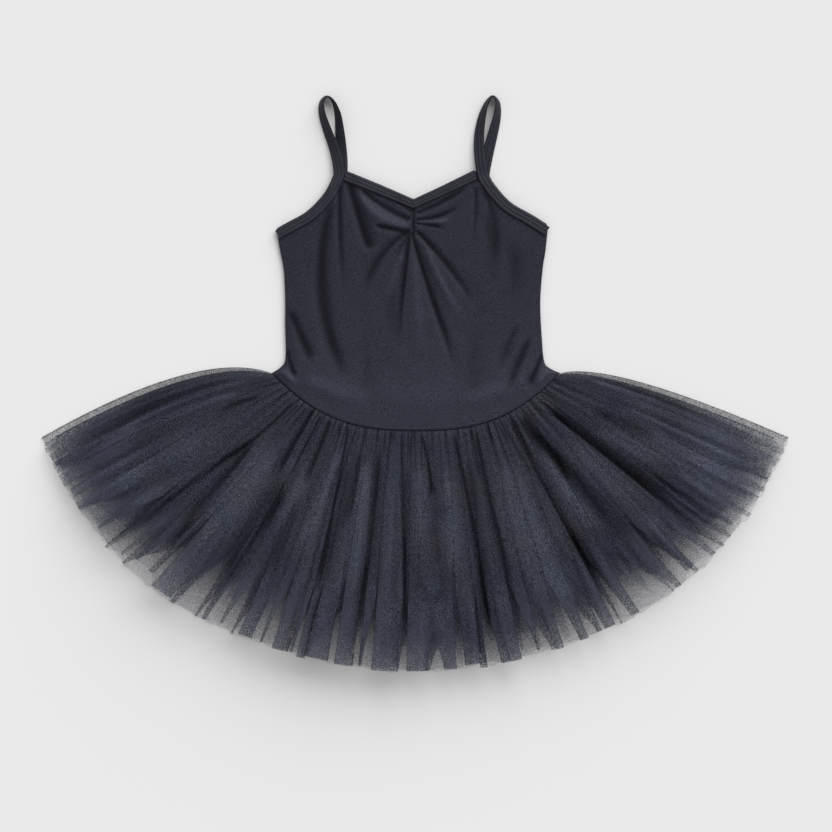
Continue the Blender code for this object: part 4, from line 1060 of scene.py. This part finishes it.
def half_ring(order, front, rows, lift, depth, reach, first, last, down):
    """One half of a ring of net, from left to right where it is the front: its points, how far down
    each lies, its tone of painted light and shade, how dense the cloth looks there, and its share of the
    width."""
    column = pleat_columns(rows, first, last, FOLDED_DENSE[order] if front else BACK_DENSE,
                           NET_STEP[0 if front else 1])
    if not front:
        column = column[::-1]
    hem_share, offset, level, ply, pleat_shade, dense, run, beyond, grow = column.T
    outer_front = order == 0 and front
    phase = order * 1.7 + (0 if front else 3.0)

    # plan: every column's share of the width wanders on its way down
    widening = 1 + grow * np.clip((1 - down) / WEDGE_RISE, 0, 1) ** 1.5 * ease((down - 0.1) / 0.3)
    hem_place = hem_share[None] + offset[None] * (0.55 + 0.45 * down) * widening
    fine = np.linspace(0, 1, 4001)
    share = np.interp(hem_place, spread(fine), fine)
    on_the_way = np.sin(math.pi * down) ** 0.8
    share = share + waves(share, down, WANDER) * on_the_way * from_sides(share, 0.03, 0.05)
    place = down * np.minimum(hem_length(order, front, reach, hem_share, beyond, phase), LONGEST)[None]
    plan = skirt_place(share, place)
    aside = np.minimum(share, 1 - share)

    # level and shade: the pleats near the hem, and the main folds and strokes of the front
    shows = ease((place - 1 + run) / (0.5 * run))
    if front and order:
        shows = INNER_SHOWS * shows
    level = MEAN_LEVEL + (level - MEAN_LEVEL) * shows
    # painted shade of the pleats, weaker beside the side folds
    shade = pleat_shade * shows * (0.35 + 0.65 * from_sides(share, SIDE_SHARE, SIDE_FADE))
    if front:
        height, fold_shade = fold_relief(plan[..., 0], plan[..., 1], NET_FOLDS)
        level = np.clip(level + FOLD_RELIEF[order] * height, 0.0, MOST_LEVEL)
        strokes = STROKE_SHADE * ease((waves(share, 0, STROKES) - 0.3) / 0.6)
        strokes = strokes * np.exp(-place * NET_LENGTH / STROKE_LENGTH)
        deep = 1 - FOLD_PALING * ease((place - 0.55) / 0.4)
        shade = np.clip(shade, 0, 1) + FOLD_DARKNESS * deep * fold_shade + strokes

    # height: nested rings, the puff, the pleats and the fine gathers
    nested = np.clip((aside - FOLD_SHARE) / NEST_SHARE, order, 2)
    parting = ease((aside - FOLD_SHARE - 2 * NEST_SHARE) / PUFF_SHARE)
    pitch = NET + LAYER_GAP + HEM_GAP * place
    rest = pitch * (1 + order + 2 * (nested - order)) if front else pitch * order
    rise = lift * parting * place + NET / 2
    side = from_sides(share, order * NEST_SHARE, 0.03)
    ripple = waves(share, down, phased(RIPPLE_WAVES, phase))
    relief = depth * parting * place * np.clip(level + RIPPLE_DEPTH * ripple, 0, 2)
    tight = waves(share, down, phased(GATHER_WAVES, phase))
    gather = ease(down / 0.02) * (1 - ease(down / 0.45))
    room = GATHER_ROOM[0 if outer_front else 1]
    relief = relief + room * side * (0.5 * level + 0.45 + 0.45 * tight) * gather
    relief = relief + room * side * (0.5 * level) * ease(down / 0.1)
    if outer_front:
        relief = relief + SIDE_RELIEF * (1 - parting) * place * level * side
    plies = PLY_HEIGHT * (ply[None] - 1) * side * ease(down / 0.1)
    z = rest + rise + relief + plies
    if order == 0 and not front:
        z = np.maximum(z, LOWEST_NET_Z)

    # looks: the tone is painted light and shade, lighter where the cloth lies high, falling off as an
    # exponential of the shade, and painted lighter towards the hem
    tone = (PAINTED_LOW_TONE + PAINTED_LIGHT_RISE * level) * np.exp(-SHADE_FALL * np.clip(shade, -0.4, 2.0))
    tone = tone * (1 + HEM_LIGHT * ease((place - HEM_LIGHT_FROM) / HEM_LIGHT_FADE))
    dense = 1 + (dense - 1) / widening
    if outer_front:
        dense = dense * (1 + TOP_GROWTH * ease((0.98 - place) / 0.6))
    outermost = aside < order * NEST_SHARE + 1.05 * FOLD_SHARE
    dense = np.where(outermost, edge_density(order, place), dense)
    return with_z(plan, z), place, tone, dense, share


def side_fold(order, left, reach, down):
    """Three columns round one side fold of a ring, with the same values as a half ring."""
    aside = np.array([EDGE_LINE, 0, EDGE_LINE]) + order * NEST_SHARE
    share = np.tile(aside if left else 1 - aside, (NET_ROWS, 1))
    place = down * np.full((1, 3), reach + (0.002 * order if order else CORNER_REACH))
    pitch = NET + LAYER_GAP + HEM_GAP * place
    side_of = np.array([-1, 0, 1]) * (1 if left else -1)
    z = pitch * (order + 0.5) + 0.15 * side_of + NET / 2
    dense = np.where(side_of == 0, EDGE_LINE_DENSE, edge_density(order, place))
    return with_z(skirt_place(share, place), z), place, np.full(place.shape, PAINTED_SIDE_TONE), dense, share


def net_ring(order, ring):
    """Points, distance across and values of one ring of net: front half from left to right, then
    back half from right to left, closed at its two side folds."""
    reach, front_lift, back_lift, front_depth, back_depth, front_count, back_count, fold = ring[1:]
    edge = order * NEST_SHARE
    first, last = spread(edge + FOLD_SHARE), spread(1 - edge - FOLD_SHARE)
    inner = (first + PLAIN_SHARE, last - PLAIN_SHARE)
    front_rows = np.array(OUTER_PLEATS)
    if front_count:
        front_rows = uneven_pleats(front_count, fold, 1.0 + order, *inner)
    back_rows = uneven_pleats(back_count, fold, 4.0 + order, *inner)
    down = np.linspace(0, 1, NET_ROWS)[:, None]
    down = 0.5 * down + 0.5 * down ** 2
    parts = [
        side_fold(order, True, reach, down),
        half_ring(order, True, front_rows, front_lift, front_depth, reach, first, last, down),
        side_fold(order, False, reach, down),
        half_ring(order, False, back_rows, back_lift, back_depth, reach, first, last, down),
    ]
    points, *values = (np.concatenate(part, 1) for part in zip(*parts))
    joined = np.concatenate([points[:1, -1:], points[:1]], 1)
    across = np.cumsum(np.linalg.norm(np.diff(joined, axis=1), axis=-1)[0])
    return points, across, values


def make_ring(order, ring, finishes, finish):
    """One ring of net as a single open tube, with its own covering at every point: one minus the
    clearness of a flat layer to the power of how far the cloth is drawn together there, times how
    dense it looks and the plies that lie there."""
    points, across, (place, tone, dense, share) = net_ring(order, ring)
    rows, columns = points.shape[:2]
    index = np.arange(rows * columns).reshape(rows, columns)
    faces = grid_quads(index, True)[:, ::-1]
    drawn = HEM_WIDTH / (WAIST_WIDTH + (HEM_WIDTH - WAIST_WIDTH) * place) * DRAWN_AT_HEM
    at_sides = 1 - from_sides(share, SIDE_SHARE, SIDE_FADE)
    above = ring[1] - place + THICK_START + waves(share, 0, THIN_WAVES) + SIDE_THICKENING * at_sides
    above = above + np.interp(share, *np.array(THICKENING).T)
    plies = np.clip(PLY_GROWTH[order] * above, PLY_LEAST, PLY_MOST) if order else 1.0
    line = np.minimum(share, 1 - share) < order * NEST_SHARE + 2 * EDGE_LINE
    plies = np.where(line, np.maximum(plies, EDGE_LINE_PLIES), plies)
    cover = 1 - finishes.clearness ** (drawn * dense * plies)
    uv = np.stack([np.broadcast_to(across, place.shape), place * NET_LENGTH], -1) * MM
    # the tone attribute carries the painted light and shade of the folds
    piece = add_mesh(ring[0] + "_net", points, faces, finish, uv.reshape(-1, 2),
                     [("cover", cover), ("tone", tone), ("thin", ease((place - THIN_FROM) / THIN_FADE))])
    settle(piece, "net", ring[0])
    return piece


# Finishes

def new_group(name, inputs, outputs):
    """An empty shader node group with named sockets."""
    group = bpy.data.node_groups.new(name, "ShaderNodeTree")
    for socket, kind, value in inputs:
        made = group.interface.new_socket(socket, in_out="INPUT", socket_type=kind)
        if value is not None:
            made.default_value = value
    for socket, kind in outputs:
        group.interface.new_socket(socket, in_out="OUTPUT", socket_type=kind)
    return group, group.nodes.new("NodeGroupInput"), group.nodes.new("NodeGroupOutput")


def node(tree, kind, links=(), **values):
    """A node with its settings, and its inputs joined or set by name or number."""
    made = tree.nodes.new(kind)
    for key, value in values.items():
        setattr(made, key, value)
    for socket, value in links:
        if isinstance(value, bpy.types.NodeSocket):
            tree.links.new(value, made.inputs[socket])
        else:
            made.inputs[socket].default_value = value
    return made


def maths(tree, operation, *values, **settings):
    """The result of a maths node, whose inputs are numbers or other nodes' results, in their order."""
    return node(tree, "ShaderNodeMath", enumerate(values), operation=operation, **settings).outputs[0]


def point_value(tree, key):
    """A value that the mesh holds at each of its points."""
    return node(tree, "ShaderNodeAttribute", attribute_name=key).outputs["Fac"]


def cloth_group():
    """Shade and bump of a fine knit: ribs along Y as a sine of x, small loops across them, and soft
    unevenness as noise of two sizes."""
    inputs = [("Vector", "NodeSocketVector", None), ("Colour", "NodeSocketColor", None),
              ("Ribs per Metre", "NodeSocketFloat", 1400.0), ("Rib Height", "NodeSocketFloat", 0.5),
              ("Mottle", "NodeSocketFloat", 0.2)]
    outputs = [("Colour", "NodeSocketColor"), ("Roughness", "NodeSocketFloat"),
               ("Height", "NodeSocketFloat")]
    group, entry, leave = new_group("Fine Knit", inputs, outputs)
    vector = entry.outputs["Vector"]
    soft, fine = (node(group, "ShaderNodeTexNoise", [("Vector", vector), ("Scale", scale),
                                                     ("Detail", detail)]).outputs["Fac"]
                  for scale, detail in (KNIT_MOTTLE, KNIT_GRAIN))
    place = node(group, "ShaderNodeSeparateXYZ", [("Vector", vector)]).outputs
    turn = maths(group, "MULTIPLY", place["X"], entry.outputs["Ribs per Metre"])
    rib = maths(group, "SINE", maths(group, "MULTIPLY", turn, 2 * math.pi))
    loop = maths(group, "SINE", maths(group, "MULTIPLY", place["Y"], LOOPS_PER_METRE * 2 * math.pi))
    weave = maths(group, "MULTIPLY_ADD", loop, LOOP_HEIGHT, rib)
    high = maths(group, "MULTIPLY", weave, entry.outputs["Rib Height"])
    height = maths(group, "MULTIPLY_ADD", fine, 0.8, high)
    centred = maths(group, "SUBTRACT", soft, 0.5)
    tone = maths(group, "MULTIPLY_ADD", centred, entry.outputs["Mottle"], 1.0)
    grain = maths(group, "MULTIPLY_ADD", fine, GRAIN_CONTRAST, -GRAIN_CONTRAST / 2)
    shade = node(group, "ShaderNodeVectorMath", [(0, entry.outputs["Colour"]),
                                                 ("Scale", maths(group, "ADD", tone, grain))],
                 operation="SCALE")
    rough = maths(group, "MULTIPLY_ADD", centred, 0.12, 0.58)
    for source, target in ((shade.outputs[0], "Colour"), (rough, "Roughness"), (height, "Height")):
        group.links.new(source, leave.inputs[target])
    return group


def new_finish(name, colour):
    """A material with its name and its plain colour in the viewport, its nodes and its shader."""
    finish = bpy.data.materials.new(name)
    finish.use_nodes = True
    finish.diffuse_color = (*colour, 1)
    tree = finish.node_tree
    return finish, tree, tree.nodes["Principled BSDF"], node(tree, "ShaderNodeTexCoord").outputs


def cloth_finish(name, group, colour, ribs, rib_height, mottle, specular, sheen, vector="Object"):
    """Knit material: the fine knit group over a Principled shader with a soft satin gloss. Its
    colour is multiplied by one minus a share of the mesh's painted shade, which paints creases darker
    and bluer."""
    finish, tree, shader, place = new_finish(name, colour)
    knit = node(tree, "ShaderNodeGroup", node_tree=group)
    for key, value in (("Colour", (*colour, 1)), ("Ribs per Metre", ribs), ("Rib Height", rib_height),
                       ("Mottle", mottle)):
        knit.inputs[key].default_value = value
    tree.links.new(place[vector], knit.inputs["Vector"])
    bump = node(tree, "ShaderNodeBump", [("Strength", 0.25), ("Distance", 0.00012),
                                         ("Height", knit.outputs["Height"])])
    # painted shade: the mesh's shade attribute darkens the colour, most in creases and grooves
    dim = node(tree, "ShaderNodeVectorMath", [(0, point_value(tree, "shade")), (1, PAINTED_SHADE_TINT),
                                              (2, (1.0, 1.0, 1.0))], operation="MULTIPLY_ADD")
    toned = node(tree, "ShaderNodeVectorMath", [(0, knit.outputs["Colour"]), (1, dim.outputs[0])],
                 operation="MULTIPLY")
    for source, target in ((toned.outputs[0], "Base Color"), (knit.outputs["Roughness"], "Roughness"),
                           (bump.outputs["Normal"], "Normal")):
        tree.links.new(source, shader.inputs[target])
    for key, value in (("Specular IOR Level", specular), ("Sheen Weight", sheen),
                       ("Sheen Roughness", 0.35), ("Sheen Tint", (0.75, 0.78, 1.0, 1))):
        shader.inputs[key].default_value = value
    return finish


def net_finish(finishes):
    """Net: see-through by its covering, broken up by a fine even mesh and streaks down the cloth.
    The mesh is the distance to the nearest of many scattered points, plus a value of each point's
    own, and it opens most where the cloth is thin. The colour is the tone of the folds, their painted
    light and shade, times the same mesh and streaks, and turns to the hem's tint where the cloth hangs
    free."""
    finish, tree, shader, place = new_finish("net", finishes.net)
    cover = point_value(tree, "cover")
    thin = point_value(tree, "thin")
    flat, long = (node(tree, "ShaderNodeMapping", [("Vector", place[key]), ("Scale", scale)]).outputs[0]
                  for key, scale in (("Object", MESH_STRETCH), ("UV", STREAK_STRETCH)))
    speck = node(tree, "ShaderNodeTexVoronoi", [("Vector", flat), ("Scale", MESHES_PER_METRE),
                                                ("Randomness", 0.8)])
    drift = node(tree, "ShaderNodeTexNoise", [("Vector", flat), ("Scale", DRIFTS_PER_METRE),
                                              ("Detail", 2.0)])
    streak = node(tree, "ShaderNodeTexNoise", [("Vector", long), ("Scale", STREAKS_PER_METRE),
                                               ("Detail", 3.0)])
    by_streak = maths(tree, "MULTIPLY_ADD", streak.outputs["Fac"], STREAK_CONTRAST,
                      1 - STREAK_CONTRAST / 2)
    own = node(tree, "ShaderNodeSeparateColor", [("Color", speck.outputs["Color"])]).outputs["Red"]
    uneven = maths(tree, "MULTIPLY_ADD", own, SPECK_CONTRAST, -2 * SPECK_CONTRAST)
    specks = maths(tree, "ADD", speck.outputs["Distance"], uneven)
    thinness = maths(tree, "MULTIPLY", thin, maths(tree, "SUBTRACT", 1.0, cover))
    open_mesh = maths(tree, "MULTIPLY_ADD", thinness, THIN_MESH_CONTRAST, MESH_CONTRAST)
    by_speck = maths(tree, "MULTIPLY_ADD", specks, open_mesh, 1.0)
    both = maths(tree, "MULTIPLY", by_speck, by_streak)
    alpha = maths(tree, "MULTIPLY", cover, both, use_clamp=True)
    light = maths(tree, "MULTIPLY_ADD", specks, 1.0, 1.0)
    # painted light and shade of the folds, from the mesh's tone attribute
    tone = maths(tree, "MULTIPLY", point_value(tree, "tone"), maths(tree, "MULTIPLY", light, by_streak))
    bluer, greyer, at_hem = ((*(value * tint for value, tint in zip(finishes.net, tints)), 1)
                             for tints in (BLUER, GREYER, HEM_TINT))
    hue = node(tree, "ShaderNodeMix", [("Factor", drift.outputs["Fac"]), ("A", bluer), ("B", greyer)],
               data_type="RGBA")
    glow = node(tree, "ShaderNodeMix", [("Factor", thin), ("A", hue.outputs["Result"]), ("B", at_hem)],
                data_type="RGBA")
    shade = node(tree, "ShaderNodeVectorMath", [(0, glow.outputs["Result"]), ("Scale", tone)],
                 operation="SCALE")
    tree.links.new(shade.outputs[0], shader.inputs["Base Color"])
    tree.links.new(alpha, shader.inputs["Alpha"])
    shader.inputs["Roughness"].default_value = 0.75
    shader.inputs["Specular IOR Level"].default_value = 0.04
    return finish


def floor_finish(colour):
    """Matt paper floor with a barely visible unevenness."""
    finish, tree, shader, place = new_finish("floor", colour)
    noise = node(tree, "ShaderNodeTexNoise", [("Vector", place["Object"]), ("Scale", 3.0)])
    tone = maths(tree, "MULTIPLY_ADD", noise.outputs["Fac"], FLOOR_CONTRAST, 1 - FLOOR_CONTRAST / 2)
    shade = node(tree, "ShaderNodeVectorMath", [(0, (*colour,)), ("Scale", tone)], operation="SCALE")
    tree.links.new(shade.outputs[0], shader.inputs["Base Color"])
    shader.inputs["Roughness"].default_value = 1.0
    shader.inputs["Specular IOR Level"].default_value = 0.0
    return finish


def finishes_of(scene):
    """The cloth finishes, made once and then found again by name."""
    colours = scene.tutu_finishes
    if "net" not in bpy.data.materials or not bpy.data.materials["net"].get("tutu"):
        group = cloth_group()
        made = {
            "satin knit": cloth_finish("satin knit", group, colours.knit, 1250.0, 0.5, 0.16, 0.10, 0.03),
            "binding knit": cloth_finish("binding knit", group, colours.binding, 900.0, 0.6, 0.25, 0.25,
                                         0.05, "UV"),
            "thread": cloth_finish("thread", group, colours.thread, 3000.0, 0.4, 0.1, 0.4, 0.0),
            "net": net_finish(colours),
        }
        for key, finish in made.items():
            finish["tutu"] = key
        scene["tutu_names"] = {key: finish.name for key, finish in made.items()}
    return {key: bpy.data.materials[name] for key, name in scene["tutu_names"].items()}


# Operators

class TUTU_OT_stage(bpy.types.Operator):
    """Lay the pale floor, and set the soft light and the camera straight above"""
    bl_idname = "tutu.stage"
    bl_label = "Floor, Light and Camera"

    def execute(self, context):
        scene, studio = context.scene, context.scene.tutu_studio
        corner = FLOOR_HALF / MM
        points = [(-corner, -corner, 0), (corner, -corner, 0), (corner, corner, 0), (-corner, corner, 0)]
        floor = add_mesh("floor", points, [[0, 1, 2, 3]], floor_finish(studio.floor))
        world = bpy.data.worlds.new("studio")
        world.use_nodes = True
        world.node_tree.nodes["Background"].inputs["Color"].default_value = (1, 1, 1, 1)
        world.node_tree.nodes["Background"].inputs["Strength"].default_value = studio.sky
        scene.world = world
        light = bpy.data.lights.new("soft light", "SUN")
        light.energy, light.angle = studio.sun, studio.sun_size
        lamp = bpy.data.objects.new("soft light", light)
        lamp.rotation_euler = (-(math.pi / 2 - studio.sun_height), 0, -studio.sun_side)
        scene.collection.objects.link(lamp)
        view = bpy.data.cameras.new("camera")
        view.sensor_width = 36.0
        view.lens = view.sensor_width * studio.camera_height / studio.view_width
        view.clip_end = 50.0
        camera = bpy.data.objects.new("camera", view)
        camera.location = (CAMERA_AIM[0] * MM, CAMERA_AIM[1] * MM, studio.camera_height)
        scene.collection.objects.link(camera)
        scene.camera = camera
        scene.view_settings.view_transform = "Standard"
        scene.cycles.transparent_max_bounces = 64
        return {"FINISHED"}


class TUTU_OT_bodice(bpy.types.Operator):
    """Make the front and back panels of satin knit"""
    bl_idname = "tutu.bodice"
    bl_label = "Bodice Panels"

    def execute(self, context):
        sizes, finish = context.scene.tutu_sizes, finishes_of(context.scene)["satin knit"]
        front = make_front(sizes, finish)
        back = make_back(sizes, finish)
        return {"FINISHED"}


class TUTU_OT_bindings(bpy.types.Operator):
    """Make the neck bindings, and the armhole bindings that run on as the straps"""
    bl_idname = "tutu.bindings"
    bl_label = "Bindings and Straps"

    def execute(self, context):
        sizes, found = context.scene.tutu_sizes, finishes_of(context.scene)
        paths = {
            "neck_binding_front": neck_path(NECK_UPPER, NECK_LOWER,
                                            lambda x, y: on_front(x, y, sizes), sizes),
            "neck_binding_back": neck_path(BACK_NECK_UPPER, BACK_NECK_LOWER,
                                           lambda x, y: np.zeros_like(x), sizes),
            "strap_left": strap_path(ARMHOLE_LEFT, STRAP_LEFT, BACK_ARMHOLE_LEFT, 180.0, sizes),
            "strap_right": strap_path(ARMHOLE_RIGHT, STRAP_RIGHT, BACK_ARMHOLE_RIGHT, 0.0, sizes),
        }
        for name, (centre, wide, thick) in paths.items():
            upward = 1.0 if "neck" in name else np.sign(thick[0, 2])
            band = add_band(name + "_band", centre, wide, thick * upward, sizes, found["binding knit"])
            settle(band, "binding", name)
            rods = stitch_rods(centre, wide, thick * upward, sizes)
            thread = add_rods(name + "_stitches", rods, found["thread"])
            settle(thread, "binding")
        return {"FINISHED"}


class TUTU_OT_net(bpy.types.Operator):
    """Make the three gathered rings of net"""
    bl_idname = "tutu.net"
    bl_label = "Net Skirt"

    def execute(self, context):
        finish = finishes_of(context.scene)["net"]
        for order, ring in enumerate(NET_RINGS):
            piece = make_ring(order, ring, context.scene.tutu_finishes, finish)
        return {"FINISHED"}


class TUTU_PT_sidebar(bpy.types.Panel):
    """Pieces of the tutu, in the order in which they are made"""
    bl_idname = "TUTU_PT_sidebar"
    bl_label = "Ballet Tutu"
    bl_space_type = "VIEW_3D"
    bl_region_type = "UI"
    bl_category = "Tutu"

    def draw(self, context):
        for group in (context.scene.tutu_sizes, context.scene.tutu_finishes, context.scene.tutu_studio):
            box = self.layout.box()
            for key in group.__annotations__:
                box.prop(group, key)
        for step in STEPS:
            self.layout.operator(step.bl_idname)


GROUPS = {"tutu_sizes": TutuSizes, "tutu_finishes": TutuFinishes, "tutu_studio": TutuStudio}
STEPS = (TUTU_OT_stage, TUTU_OT_bodice, TUTU_OT_bindings, TUTU_OT_net)


def register():
    for made in (*GROUPS.values(), *STEPS, TUTU_PT_sidebar):
        bpy.utils.register_class(made)
    for name, group in GROUPS.items():
        setattr(bpy.types.Scene, name, PointerProperty(type=group))


def unregister():
    for name in GROUPS:
        delattr(bpy.types.Scene, name)
    for made in reversed((*GROUPS.values(), *STEPS, TUTU_PT_sidebar)):
        bpy.utils.unregister_class(made)


def main():
    register()
    for step in STEPS:
        space, name = step.bl_idname.split(".")
        getattr(getattr(bpy.ops, space), name)()


if __name__ == "__main__":
    main()
